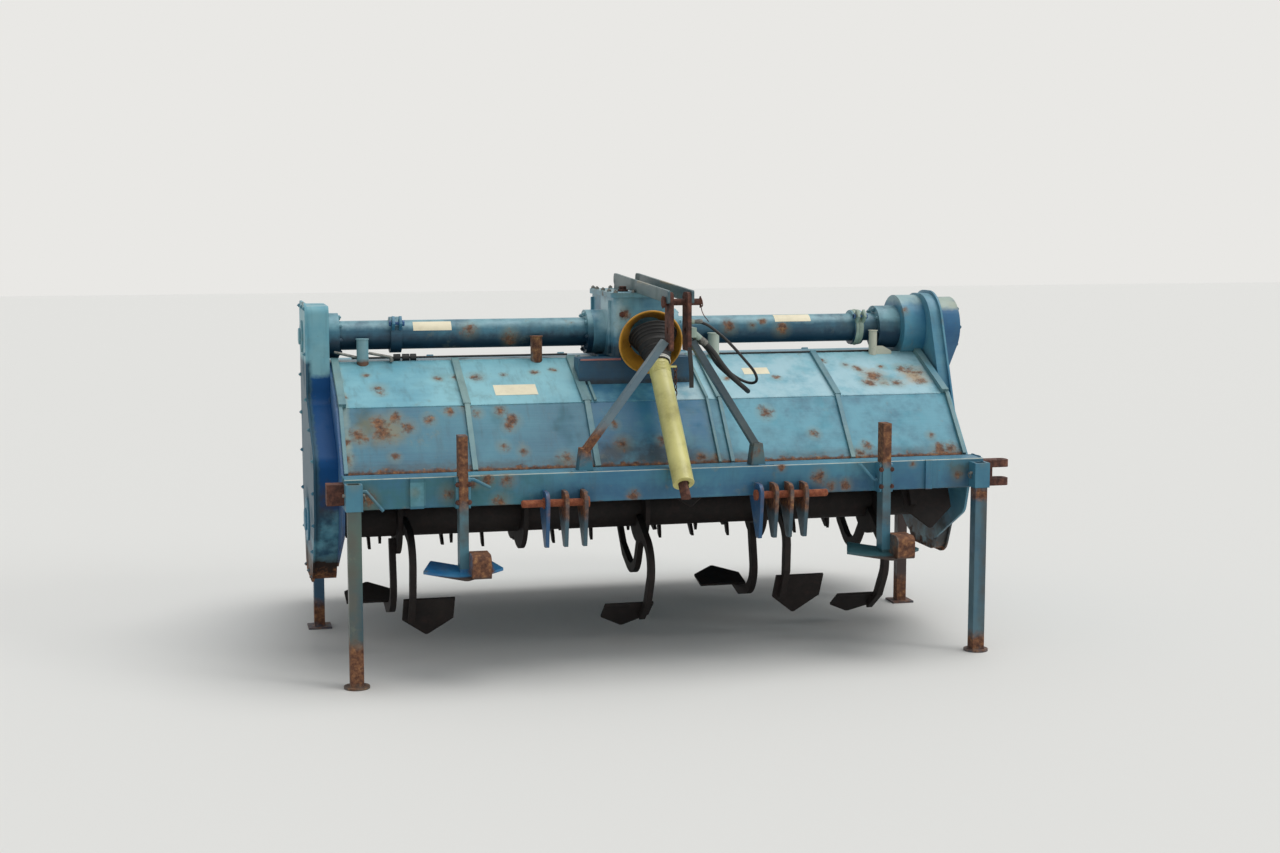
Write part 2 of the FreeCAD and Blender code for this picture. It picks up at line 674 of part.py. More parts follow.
def makeGearbox():
    left = -size("boxLeft")
    right = size("boxRight")
    front = size("boxFront")
    back = front + size("boxDeep")
    base = boxBase
    top = size("boxTop")
    body = block(left, front, base, right, back, top)
    corners = [edge for edge in body.Edges if abs(edge.Vertexes[0].Z - edge.Vertexes[1].Z) > 50]
    body = body.makeFillet(size("boxRound"), corners)
    y, z = tubeCentre
    flange = size("boxFlange")
    radius = size("tubeFlange")
    barrel = Part.makeCylinder(radius, right - left + flange * 2, Vector(left - flange, y, z), AXIS_X)
    nose_start = size("inputFace")
    nose = Part.makeCylinder(size("inputRadius"), front - nose_start + 40,
                             Vector(size("inputX"), nose_start, size("inputZ")), AXIS_Y)
    feature("gearbox", joined([body, barrel, nose]))
    lid = block(left - 10, front - 10, top, right + 10, back + 10, top + size("boxLid"))
    corners = [edge for edge in lid.Edges if abs(edge.Vertexes[0].Z - edge.Vertexes[1].Z) > 5]
    lid = lid.makeFillet(size("boxRound") + 8, corners)
    feature("gearbox_lid", lid)


# A flat case on the outside of a side plate, with a bolting rim on its far side
def rimmedCase(label, outline, side, wide):
    deep = size("caseRimDeep")
    rim = outlineFace(outline).makeOffset2D(size("caseRim")).extrude(Vector(0, 0, deep))
    rim.Placement = FreeCAD.Placement(Vector(plateOuter + wide - deep, 0, 0),
                                      Rotation(AXIS_Y, AXIS_Z, AXIS_X))
    solid = joined([plateAcross(outline, plateOuter, wide), rim])
    if side < 0:
        solid = solid.mirror(Vector(0, 0, 0), AXIS_X)
    feature(label, solid)


def makeCases():
    plate = plateOuter
    floor = size("caseFloor")
    top = size("caseTop")
    front = size("caseTopFront")
    back = size("caseTopBack")
    left = [
        (front, top, 30), (back, top, 30), (back, size("hoodTopZ") - 60, 60),
        (size("rotorY") + 250, size("rotorZ") + 90, 80), (size("rotorY") + 150, floor, 60),
        (size("rotorY") - 150, floor, 60), (size("rotorY") - 300, size("rotorZ") + 20, 80),
        (size("hoodCreaseY") - 60, size("hoodCreaseZ") - 190, 60),
        (front, size("hoodCreaseZ") + 10, 60),
    ]
    rimmedCase("left_case", left, -1, size("leftCaseWide"))
    y, z = tubeCentre
    big = size("rightHeadRadius") + 8
    right = [
        (y - big, z + big, big * 0.98), (y + big, z + big, big * 0.98),
        (y + big, z - 150, 120), (size("rotorY") + 215, size("rotorZ") + 60, 120),
        (size("rotorY") + 130, floor, 70), (size("rotorY") - 130, floor, 70),
        (size("rotorY") - 230, size("rotorZ") + 20, 120),
        (size("hoodCreaseY") + 40, size("hoodCreaseZ") - 160, 120),
    ]
    rimmedCase("right_case", right, 1, size("rightCaseWide"))
    radius = size("rightHeadRadius")
    head = Part.makeCylinder(radius, size("rightHead"), Vector(plate - size("rightHead"), y, z), AXIS_X)
    above = block(0, y - radius, size("hoodTopZ"), plate, y + radius, z + radius)
    head = head.common(above)
    feature("right_gear_head", head)
    small = size("rearCaseLow")
    large = size("rearCaseTop")
    rear_y, rear_z = rearCentre
    ring = Part.makeCylinder(large, size("rearCaseWide"), Vector(size("rearCaseInner"), y, z), AXIS_X)
    start = Vector(size("rearCaseInner"), rear_y, rear_z)
    end = Part.makeCylinder(small, size("rearCaseWide"), start, AXIS_X)
    gap_vector = Vector(rear_y - y, rear_z - z, 0)
    length = gap_vector.Length
    slant = math.asin((large - small) / length)
    along = math.atan2(gap_vector.y, gap_vector.x)
    web = []
    for turn in (math.pi / 2 - slant, -math.pi / 2 + slant):
        normal = Vector(math.cos(along + turn), math.sin(along + turn), 0)
        web.append(((y + normal.x * large, z + normal.y * large),
                    (rear_y + normal.x * small, rear_z + normal.y * small)))
    outline = [web[0][0], web[0][1], web[1][1], web[1][0]]
    middle = plateAcross(outline, size("rearCaseInner"), size("rearCaseWide"))
    feature("rear_drive_case", joined([ring, end, middle]))
    # shafts between the cases
    hub = Part.makeCylinder(58, size("rearCaseInner") - plate - size("rightCaseWide"),
                            Vector(plate + size("rightCaseWide"), y, z), AXIS_X)
    hub2 = Part.makeCylinder(58, size("rearCaseInner") - plate, Vector(plate, rear_y, rear_z), AXIS_X)
    feature("rear_drive_hubs", Part.makeCompound([hub, hub2]))


# The spade rotor's tube, and the discs that its arms are bolted to
def makeRotor():
    y, z = rotorCentre
    half = size("rotorHalf")
    stub = size("stubRadius")
    radius = size("rotorTube")
    end = size("plateInner") - size("gap")
    profile = [(-end, 0), (-end, stub), (-half, stub), (-half, radius),
               (half, radius), (half, stub), (end, stub), (end, 0)]
    turned("rotor_shaft", profile, Vector(0, y, z))
    thick = size("discThick")
    discs = []
    for station in (-2, -1, 0, 1, 2):
        start = Vector(station * size("discStep") - thick / 2, y, z)
        disc = Part.makeCylinder(size("discRadius"), thick, start, AXIS_X)
        discs.append(disc.cut(Part.makeCylinder(radius, thick, start, AXIS_X)))
    feature("rotor_discs", Part.makeCompound(discs))


def bearing(side, centre):
    y, z = centre
    inner = size("plateInner")
    radius = size("bearingRadius")
    ring = Part.makeCylinder(radius, size("bearingLong"), Vector(0, 0, 0), AXIS_X)
    hole = Part.makeCylinder(size("stubRadius") + size("gap"), size("bearingLong"), Vector(0, 0, 0), AXIS_X)
    solid = ring.cut(hole)
    x = inner - size("bearingLong") if side > 0 else -inner
    solid.translate(Vector(x, y, z))
    return solid


# Columns: station, hand, turn from straight down towards the front
ARMS = [
    (-2, -1, 12), (-2, 1, 82), (-2, -1, 192), (-2, 1, 270),
    (-1, -1, 210), (-1, 1, 300),
    (0, -1, 63), (0, 1, 156), (0, -1, 243), (0, 1, 336),
    (1, -1, 12), (1, 1, 87), (1, -1, 192), (1, 1, 270),
    (2, -1, 58), (2, 1, 141), (2, -1, 238), (2, 1, 321),
]
BARE_ARM = (0, 1, 336)


# Where an arm's foot and its blade meet, in the plane of an arm that hangs
# straight down: the heel's place, and the way that the blade rises to the rear
def bladePlane():
    rise = math.radians(size("spadeRise"))
    along = Vector(0, math.cos(rise), math.sin(rise))
    heel = Vector(0, size("armRun"), size("armWide") - size("armReach"))
    return heel, along


# An arm that hangs down from the rotor's axis, runs to the rear and turns up
def armSolid(hand):
    heel, along = bladePlane()
    wide = size("armWide")
    thick = size("armFootThick")
    bend = size("armBend")
    low = -size("armReach")
    outward = Vector(0, along.z, -along.y)
    tip = heel + along * size("armFoot")
    outerTip = tip + outward * thick
    outerHeel = heel + outward * thick
    outerHeel = outerHeel + along * ((low - outerHeel.z) / along.z)
    outline = [
        (-wide / 2, -size("rotorTube") - 8), (-wide / 2, low, bend), (outerHeel.y, low, 24),
        (outerTip.y, outerTip.z), (tip.y, tip.z), (heel.y, heel.z),
        (wide / 2, low + wide, bend - wide), (wide / 2, -size("rotorTube") - 8),
    ]
    solid = plateAcross(outline, size("discThick") / 2, size("armThick"))
    if hand < 0:
        solid = solid.mirror(Vector(0, 0, 0), AXIS_X)
    return solid


# A five-sided blade on the inside of the arm's foot
def bladeSolid(hand):
    heel, along = bladePlane()
    half = size("spadeWide") / 2
    edge = size("spadeEdge")
    long = size("spadeLong")
    outline = [(-half, 0), (half, 0), (half, edge), (0, long, 14), (-half, edge)]
    plate = outlineFace(outline).extrude(Vector(0, 0, size("spadeThick")))
    inward = Vector(0, -along.z, along.y)
    plate.Placement = FreeCAD.Placement(heel, Rotation(AXIS_X, along, inward, "XYZ"))
    plate.translate(Vector(size("spadeSide"), 0, 0))
    if hand < 0:
        plate = plate.mirror(Vector(0, 0, 0), AXIS_X)
    return plate


def makeArms():
    y, z = rotorCentre
    arms = {-1: [], 1: []}
    blades = {-1: [], 1: []}
    for station, hand, turn in ARMS:
        place = Vector(station * size("discStep"), y, z)
        for make, pile in ((armSolid, arms), (bladeSolid, blades)):
            if make is bladeSolid and (station, hand, turn) == BARE_ARM:
                continue
            solid = make(hand)
            solid.rotate(Vector(0, 0, 0), AXIS_X, -turn)
            solid.translate(place)
            pile[hand].append(solid)
    for hand, side in ((-1, "left"), (1, "right")):
        feature("spade_arms_" + side, Part.makeCompound(arms[hand]))
        feature("spade_blades_" + side, Part.makeCompound(blades[hand]))


# The rear rotor: a tube with rings of hooked teeth, each ring turned on from
# the last
def makeRearRotor():
    y, z = rearCentre
    half = size("rearHalf")
    stub = size("stubRadius")
    radius = size("rearTube")
    end = size("plateInner") - size("gap")
    reach = size("hookRadius")
    root = size("hookRoot")
    thick = size("hookThick")
    hook = [
        (-root / 2, radius - 12), (root / 2, radius - 12), (root * 0.55, reach * 0.62),
        (root * 1.3, reach * 0.86), (root * 1.5, reach * 0.97), (root * 0.7, reach * 0.93),
        (-root / 2, reach * 0.68),
    ]
    solids = [
        Part.makeCylinder(radius, half * 2, Vector(-half, 0, 0), AXIS_X),
        Part.makeCylinder(stub, end * 2, Vector(-end, 0, 0), AXIS_X),
    ]
    count = int(size("hookCount"))
    around = int(size("hooksRound"))
    for i in range(count):
        x = (i - (count - 1) / 2) * size("hookStep")
        for k in range(around):
            solid = plateAcross(hook, x - thick / 2, thick)
            solid.rotate(Vector(0, 0, 0), AXIS_X, i * size("hookTurn") + k * 360 / around)
            solids.append(solid)
    rotor = joined(solids)
    rotor.translate(Vector(0, y, z))
    feature("rear_rotor_tube", rotor)


def makeBearings():
    solids = []
    for side in (-1, 1):
        for centre in (rotorCentre, rearCentre):
            solids.append(bearing(side, centre))
    feature("rotor_bearings", Part.makeCompound(solids))


def makeBoard():
    y = size("boardHingeY")
    z = size("boardHingeZ")
    thick = size("boardThick")
    half = size("plateInner") - size("boardSwing")
    drop = size("boardDrop")
    outline = [
        (y - thick / 2, z - 16), (y + thick / 2, z - 16), (y + thick / 2, z - drop + 24, 20),
        (y + 34, z - drop, 4), (y + 26, z - drop - 6, 3), (y - thick / 2, z - drop + 18, 20),
    ]
    panel = plateAcross(outline, -half, half * 2)
    rod = Part.makeCylinder(size("boardRod"), plateOuter * 2 + 12, Vector(-plateOuter - 6, y, z), AXIS_X)
    web = block(-half, y - thick / 2, z - 18, half, y + thick / 2, z)
    feature("rear_board", joined([panel, rod, web]))


# Posts on the hood's top edge: place across the machine, radius
POSTS = [(-1096, 23), (-410, 23), (322, 23), (1010, 17)]
# Sleeves on the left pipe: where each starts and ends across the machine
SLEEVES = [(-973, -947), (-939, -912), (-908, -885)]


def makePosts():
    y = size("postY")
    top = size("postTop")
    cap = size("postCap")
    bends = hoodBends()
    under = plateAcross(bends[:4] + [(bends[3][0], 0), (bends[0][0], 0)], -plateOuter, plateOuter * 2)
    posts = []
    for x, radius in POSTS:
        stem = rod(Vector(x, y, size("hoodCreaseZ")), Vector(x, y, top), radius)
        ring = rod(Vector(x, y, top - cap), Vector(x, y, top), radius + cap)
        posts.append(joined([stem.cut(under), ring]))
    x, radius = POSTS[-1]
    base = size("hoodTopZ")
    gusset = [(x - 23, base - 20), (x + 79, base - 20), (x + 79, base + 6),
              (x + 42, base + 26), (x - 5, base + 26)]
    corners = [Vector(a, y - 10, b) for a, b in gusset]
    plate = Part.Face(Part.makePolygon(corners + [corners[0]])).extrude(Vector(0, 20, 0))
    posts[-1] = joined([posts[-1], plate.cut(under)])
    feature("hood_posts", Part.makeCompound(posts))


def makePipes():
    radius = size("pipeRadius")
    y = size("postY") + POSTS[0][1] + radius + size("gap")
    z = size("hoodTopZ") + radius + size("gap")
    first, second, third, fourth = [x for x, wide in POSTS]
    sleeve = size("couplerRadius")
    high = size("hoodTopZ") + sleeve + size("gap")
    left = [rod(Vector(first - 40, y, high), Vector(-size("railLeft") - 5, y, high), radius)]
    for start, end in SLEEVES:
        left.append(rod(Vector(start, y, high), Vector(end, y, high), sleeve))
    right = rod(Vector(third - 10, y, z), Vector(fourth + 10, y, z), radius)
    feature("hood_pipes", Part.makeCompound([joined(left), right]))


# What is bolted to the beam's ends and front
def makeBeamFittings():
    half = size("beamHalf")
    long = size("clevisLong")
    tall = size("clevisTall")
    arm = size("clevisArm")
    front = size("beamFront") + 12
    back = front + size("clevisWide")
    low = size("beamBottom")
    lump = block(half, front, low, half + long, back, low + tall)
    slot = block(half + 45, front - 1, low + arm, half + long + 1, back + 1, low + tall - arm)
    bore = rod(Vector(half + long - 30, (front + back) / 2, low - 1),
               Vector(half + long - 30, (front + back) / 2, low + tall + 1), size("clevisBore"))
    tips = [edge for edge in lump.Edges if edge.Vertexes[0].X > half + 1 and edge.Vertexes[1].X > half + 1
            and abs(edge.Vertexes[0].Z - edge.Vertexes[1].Z) > 1]
    lump = lump.makeFillet(22, tips)
    feature("end_clevis", lump.cut(slot).cut(bore))
    rise = low + (size("beamHeight") - size("endPlateTall")) / 2
    feature("end_plate", block(-half - size("endPlateLong"), front, rise,
                               -half, back, rise + size("endPlateTall")))
    face = size("beamFront")
    pads = []
    # Columns: middle of the pad across the machine, width
    for x, wide in ((258 - half, 50), (half - 229, 26)):
        pads.append(block(x - wide / 2, face - size("padThick"), low, x + wide / 2, face, beamTop))
    reach = size("handleReach")
    sleeve = size("frontStandX") - size("frontStandWide") / 2 - size("gap") * 2 - size("sleeveWall")
    cheek = size("tineX") - size("tineWide") / 2 - size("holderThick") - size("gap")
    radius = size("handleRadius")
    # Columns: where the handle starts across the machine, its way, start and end height
    for x, way, start, end in (
        (-sleeve, 1, beamTop - 40, low), (-cheek, 1, beamTop - 10, beamTop - 42),
        (cheek, -1, low + 48, beamTop - 2),
    ):
        y = frontStandY
        stub = Vector(x + way * 14, y, start)
        pads.append(joined([
            rod(Vector(x, y, start), stub, radius),
            Part.makeSphere(radius, stub),
            rod(stub, Vector(x + way * reach, y, end), radius),
        ]))
    feature("beam_fittings", Part.makeCompound(pads))


# Hoses on the headstock: sockets on its right plate and two hose loops
def socketEnds():
    face = size("headX") + size("headGap") / 2 + size("headThick")
    slant = Vector(0.75, 0, -0.66).normalize()
    ends = {}
    for name, y in (("near", 46), ("middle", 72), ("far", 98)):
        start = Vector(face + 12, y, size("headBottom") + 68)
        ends[name] = (start, start + slant * size("socketLong"))
    start = Vector(face, 60, size("topPinZ") - size("spareHoleDrop") + 32)
    ends["high"] = (start, start + AXIS_X * size("socketLong") / 2)
    return face, ends


def makeSockets():
    face, ends = socketEnds()
    radius = size("socketRadius")
    lump = block(face, 32, size("headBottom") + 50, face + 20, 110, size("headBottom") + 86)
    solids = [lump]
    for name in ("near", "middle", "far"):
        start, end = ends[name]
        solids.append(rod(start, end, radius - 2))
    start, end = ends["high"]
    feature("hose_sockets", Part.makeCompound([joined(solids), rod(start, end, radius - 4)]))


# A tube along straight runs joined by arcs as wide as the runs allow
def cordTube(label, route, radius):
    points = [Vector(*point) for point in route]
    lines = []
    here = points[0]
    smallest = 1e9
    for i in range(1, len(points) - 1):
        before = points[i - 1] - points[i]
        after = points[i + 1] - points[i]
        reach = 0.45 * min(before.Length, after.Length)
        before.normalize()
        after.normalize()
        half = before.getAngle(after) / 2
        bend = reach * math.tan(half)
        smallest = min(smallest, bend)
        inward = (before + after).normalize()
        middle = points[i] + inward * (bend / math.sin(half) - bend)
        start = points[i] + before * reach
        end = points[i] + after * reach
        lines.append(Part.LineSegment(here, start).toShape())
        lines.append(Part.Arc(start, middle, end).toShape())
        here = end
    lines.append(Part.LineSegment(here, points[-1]).toShape())
    path = Part.Wire(lines)
    circle = Part.Circle(points[0], points[1] - points[0], radius)
    tube = path.makePipeShell([Part.Wire([circle.toShape()])], True, False)
    share = tube.Volume / (math.pi * radius ** 2 * path.Length)
    print(label, "length", round(path.Length), "least radius", round(smallest), "volume", round(share, 3))
    feature(label, tube)


def makeHoses():
    face, ends = socketEnds()
    near = ends["near"]
    far = ends["far"]
    middle = ends["middle"]
    high = ends["high"]
    slant = (near[1] - near[0]).normalize()
    thick = [
        near[1], near[1] + slant * 60, (178, 34, 1130), (232, 36, 1072), (280, 64, 1036),
        (303, 117, 1024), (290, 168, 1044), (244, 186, 1086), (188, 164, 1132),
        far[1] + slant * 60, far[1],
    ]
    thin = [
        high[1], high[1] + AXIS_X * 34, (158, 50, 1259), (212, 38, 1209), (262, 30, 1151), (301, 34, 1108),
        (320, 58, 1070), (306, 98, 1056), (262, 118, 1074), (206, 118, 1116), (154, 96, 1158),
        middle[1] + slant * 45, middle[1],
    ]
    cordTube("hose_thick", thick, size("hoseThick"))
    cordTube("hose_thin", thin, size("hoseThin"))


# The shaft hangs until its guard tube rests on the beam's rounded front edge
def shaftLean():
    edge_y = size("beamFront") + size("beamRound")
    edge_z = beamTop - size("beamRound")
    ahead = size("jointY") - edge_y
    below = size("jointZ") - edge_z
    rest = size("guardRadius") + size("beamRound") + size("gap")
    return math.atan2(ahead, below) + math.asin(rest / math.hypot(ahead, below))


# Where a point of the hanging shaft lies, counted along it from its joint
def alongShaft(distance):
    lean = shaftLean()
    down = Vector(0, -math.sin(lean), -math.cos(lean))
    return Vector(size("inputX"), size("jointY"), size("jointZ")) + down * distance


# A ring of short straight edges, which keeps a loft between two rings light
def ringWire(radius, centre, way):
    turn = Rotation(AXIS_Z, way)
    radius = radius / math.cos(math.pi / 32)
    corners = []
    for i in range(33):
        angle = 2 * math.pi * i / 32
        corner = Vector(radius * math.cos(angle), radius * math.sin(angle), 0)
        corners.append(centre + turn.multVec(corner))
    return Part.makePolygon(corners)


def makeInput():
    x = size("inputX")
    y = size("jointY")
    z = size("jointZ")
    face = size("inputFace")
    ear = size("earInner")
    thick = size("earThick")
    half = size("earHalf")
    disc_start = y + half + 8
    shaft = Part.makeCylinder(size("inputShaftRadius"), face - disc_start, Vector(x, disc_start, z), AXIS_Y)
    disc = Part.makeCylinder(ear + thick + 4, 14, Vector(x, disc_start - 6, z), AXIS_Y)
    solids = [shaft, disc]
    for inner in (x - ear - thick, x + ear):
        solids.append(block(inner, y - half, z - half, inner + thick, disc_start, z + half))
    hole = Part.makeCylinder(size("crossRadius") + size("gap"), (ear + thick) * 2 + 2,
                             Vector(x - ear - thick - 1, y, z), AXIS_X)
    feature("input_yoke", joined(solids).cut(hole))
    wall = size("coneWall")
    base = size("inputRadius")
    wide = size("coneRadius")
    rim = Vector(x - size("coneShift"), size("coneRimY"), z - size("coneDrop"))
    tilt = math.radians(size("coneTilt"))
    rim_axis = Vector(0, -math.cos(tilt), -math.sin(tilt))
    shells = []
    for inset in (0, wall):
        wires = [
            ringWire(base + wall - inset, Vector(x, face + 18, size("inputZ")), AXIS_Y * -1),
            ringWire(base + wall - inset, Vector(x, face - 1, size("inputZ")), AXIS_Y * -1),
            ringWire(wide - inset, rim, rim_axis),
        ]
        shells.append(Part.makeLoft(wires, True, True))
    feature("guard_cone", shells[0].cut(shells[1]))


def makeDriveShaft():
    at = alongShaft(0)
    down = alongShaft(1) - at
    x, y, z = at
    inner = size("earInner") - size("gap")
    reach = size("earInner") + size("earThick")
    radius = size("profileRadius")
    start = size("guardStart")
    long = size("guardLong")
    pin = Part.makeCylinder(size("crossRadius"), reach * 2, Vector(x - reach, y, z), AXIS_X)
    core = Part.makeCylinder(size("crossBlock"), inner * 2, Vector(x - inner, y, z), AXIS_X)
    neck = Part.makeCylinder(radius, start, at, down)
    trim = block(x - inner, 0, 0, x + inner, y * 2, z * 2)
    feature("shaft_cross", joined([pin, core, neck.common(trim)]))
    corner = size("profileRound")
    section = []
    for i in range(3):
        turn = math.radians(90 + 120 * i)
        apex = radius + corner
        section.append((apex * math.cos(turn), apex * math.sin(turn), corner))
    tube = outlineFace(section).extrude(Vector(0, 0, long + size("profileLong")))
    tube.Placement = FreeCAD.Placement(alongShaft(start), Rotation(AXIS_Z, down))
    feature("shaft_profile", tube)
    bell = size("bellRadius")
    guard = size("guardRadius")
    wall = size("guardWall")
    first = size("bellStart")
    step = (start - first) / 6
    narrow = guard + wall
    profile = [(first, bell)]
    for i in range(1, 6):
        ripple = 4 if i % 2 else -3
        profile.append((first + i * step, bell + (narrow - bell) * i / 6 + ripple))
    profile.append((start + 20, narrow))
    back = []
    for along, r in profile[::-1]:
        back.append((along, max(r - wall, guard + size("gap"))))
    turned("shaft_bell", profile + back, at, down)
    bush = radius + size("gap")
    end = start + long
    profile = [
        (start, bush), (start, guard), (end, guard), (end, bush), (end - 24, bush),
        (end - 24, guard - wall), (start + 24, guard - wall), (start + 24, bush),
    ]
    turned("shaft_guard", profile, at, down)


def makeAll():
    makeBeam()
    makeLugs("hitch_lugs_left", "Left")
    makeLugs("hitch_lugs_right", "Right")
    makeHitchPin("hitch_pin_left", "Left", -1)
    makeHitchPin("hitch_pin_right", "Right", 1)
    makeHeadstock()
    makeLeg("headstock_leg_left", -1)
    makeLeg("headstock_leg_right", 1)
    makeBraces()
    cheeks = []
    makeTine("tine_left", -1, cheeks)
    makeTine("tine_right", 1, cheeks)
    feature("tine_holders", Part.makeCompound(cheeks))
    makeShare("share_left", -1)
    makeShare("share_right", 1)
    makeStands()
    makeSidePlate("side_plate_left", -1)
    makeSidePlate("side_plate_right", 1)
    makeHood()
    makeRail()
    makePosts()
    makePipes()
    makeBeamFittings()
    makeSockets()
    makeHoses()
    makeTubes()
    makeGearbox()
    makeCases()
    makeRotor()
    makeBearings()
    makeArms()
    makeRearRotor()
    makeBoard()
    makeInput()
    makeDriveShaft()


makeAll()
doc.recompute()
for item in doc.Objects:
    if "Invalid" in item.State or "Error" in item.State:
        raise RuntimeError("failed: " + item.Label + " " + str(item.State))
whole = FreeCAD.BoundBox()
for item in nodes:
    if item.Shape.isNull() or not item.Shape.isValid():
        raise RuntimeError("no valid shape: " + item.Label)
    whole.add(item.Shape.BoundBox)

# The origin is on the floor, at the middle of the machine's footprint
home = Vector(-whole.Center.x, -whole.Center.y, 0)
for item in nodes:
    item.Placement = FreeCAD.Placement(home, Rotation()).multiply(item.Placement)
    item.Shape.exportStep("parts/%s.step" % item.Label)
print("origin moved by", home, "overall", whole.XLength, whole.YLength, whole.ZLength)
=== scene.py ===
import bmesh
import bpy
import math
import random
from mathutils import Matrix, Vector


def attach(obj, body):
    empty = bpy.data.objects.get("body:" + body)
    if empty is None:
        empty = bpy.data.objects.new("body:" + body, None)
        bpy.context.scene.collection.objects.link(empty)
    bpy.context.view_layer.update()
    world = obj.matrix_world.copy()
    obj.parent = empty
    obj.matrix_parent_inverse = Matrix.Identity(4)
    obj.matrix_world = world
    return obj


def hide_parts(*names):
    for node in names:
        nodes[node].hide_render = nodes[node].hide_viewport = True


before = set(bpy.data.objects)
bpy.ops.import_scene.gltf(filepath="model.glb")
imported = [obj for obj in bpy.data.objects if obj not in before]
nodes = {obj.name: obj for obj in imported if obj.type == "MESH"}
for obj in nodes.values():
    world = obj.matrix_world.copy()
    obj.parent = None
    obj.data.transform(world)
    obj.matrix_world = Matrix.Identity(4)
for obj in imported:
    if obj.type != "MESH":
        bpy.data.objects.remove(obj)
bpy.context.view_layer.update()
scene = bpy.context.scene
print("frame loaded:", len(nodes), "nodes")

# Places are in millimetres: X from the middle of the front beam, Y back from
# the line of the front stands, Z up from the floor. at() gives metres.
homeX = -32.5
homeY = -758.5444543309675


def at(x, y, z):
    return Vector(((x + homeX) / 1000, (y + homeY) / 1000, z / 1000))


# Camera at the photograph's place
camera = {"place": (-1809.5, -6660.6, 1729.8), "lens": 52.84, "down": 0.1177, "turn": -0.2441}
lens = bpy.data.cameras.new("photoCamera")
lens.lens = camera["lens"]
lens.clip_end = 200
eye = bpy.data.objects.new("photoCamera", lens)
eye.location = at(*camera["place"])
eye.rotation_euler = (math.pi / 2 - camera["down"], 0, camera["turn"])
scene.collection.objects.link(eye)
scene.camera = eye
scene.view_settings.view_transform = "Standard"


# Materials

def shade(text):  # sRGB hex to linear
    values = [int(text[i:i + 2], 16) / 255 for i in (1, 3, 5)]
    return [c / 12.92 if c <= 0.04045 else ((c + 0.055) / 1.055) ** 2.4 for c in values] + [1]


# settings: the node's own options, the stops of a colour ramp, or inputs that stay
# the same. links: inputs that another node's output, a number or a hex colour feeds.
def addNode(tree, kind, settings=None, links=None):
    node = tree.nodes.new(kind)
    for key, value in (settings or {}).items():
        if key == "stops":
            for i, (place, colour) in enumerate(value):
                stops = node.color_ramp.elements
                stop = stops[i] if i < len(stops) else stops.new(place)
                stop.position = place
                stop.color = shade(colour)
        elif isinstance(key, str) and hasattr(node, key):
            setattr(node, key, value)
        else:
            node.inputs[key].default_value = value
    for key, source in (links or {}).items():
        if isinstance(source, bpy.types.NodeSocket):
            tree.links.new(source, node.inputs[key])
        else:
            node.inputs[key].default_value = shade(source) if isinstance(source, str) else source
    return node


def startMaterial(name, roughness, metallic=0):
    material = bpy.data.materials.new(name)
    material.use_nodes = True
    tree = material.node_tree
    tree.nodes.clear()
    shader = addNode(tree, "ShaderNodeBsdfPrincipled", {"Roughness": roughness, "Metallic": metallic})
    addNode(tree, "ShaderNodeOutputMaterial", links={"Surface": shader.outputs[0]})
    place = addNode(tree, "ShaderNodeTexCoord").outputs["Object"]
    return material, tree, shader, place


# A mask taken through a row of sums, each as its kind and its other side
def chain(tree, mask, *steps):
    for kind, other in steps:
        mask = addNode(tree, "ShaderNodeMath", {"operation": kind}, {0: mask, 1: other}).outputs[0]
    return mask


# Coats laid over a first colour, each as its mask and colour
def coats(tree, paint, *layers):
    for mask, colour in layers:
        paint = addNode(tree, "ShaderNodeMix", {"data_type": "RGBA"}, {0: mask, 6: paint, 7: colour}).outputs[2]
    return paint


# Soft patches. scale counts repeats in a metre, so 10 gives patches of 100 mm.
def cloud(tree, place, scale, low, high, detail=4, stretch=None, roughness=0.6):
    if stretch:
        place = addNode(tree, "ShaderNodeMapping", {"Scale": stretch}, {"Vector": place}).outputs[0]
    noise = addNode(tree, "ShaderNodeTexNoise", {"Scale": scale, "Detail": detail, "Roughness": roughness},
                    {"Vector": place})
    return addNode(tree, "ShaderNodeMapRange", {1: low, 2: high, "interpolation_type": "SMOOTHSTEP"},
                   {0: noise.outputs[0]}).outputs[0]


# Browns of old rust, dark in the pits and ochre on the crests, in patches of 18 mm
rust = {"scale": 55, "stops": [(0.28, "#3A241D"), (0.43, "#5B3B2B"), (0.56, "#80563B"), (0.74, "#B08554")]}


def rustColour(tree, place):
    noise = addNode(tree, "ShaderNodeTexNoise", {"Scale": rust["scale"], "Detail": 6, "Roughness": 0.7},
                    {"Vector": place})
    ramp = addNode(tree, "ShaderNodeValToRGB", {"stops": rust["stops"]}, {0: noise.outputs[0]})
    return ramp.outputs[0], noise.outputs[0]


# A soft round mark, 1 in its middle, for each (x, y, z, radius)
def marks(tree, place, spots):
    total = None
    for x, y, z, radius in spots:
        far = addNode(tree, "ShaderNodeVectorMath", {"operation": "DISTANCE", 1: at(x, y, z)}, {0: place})
        mark = addNode(tree, "ShaderNodeMapRange", {1: radius / 1000, 2: 0.0}, {0: far.outputs["Value"]}).outputs[0]
        total = mark if total is None else chain(tree, total, ("MAXIMUM", mark))
    return total


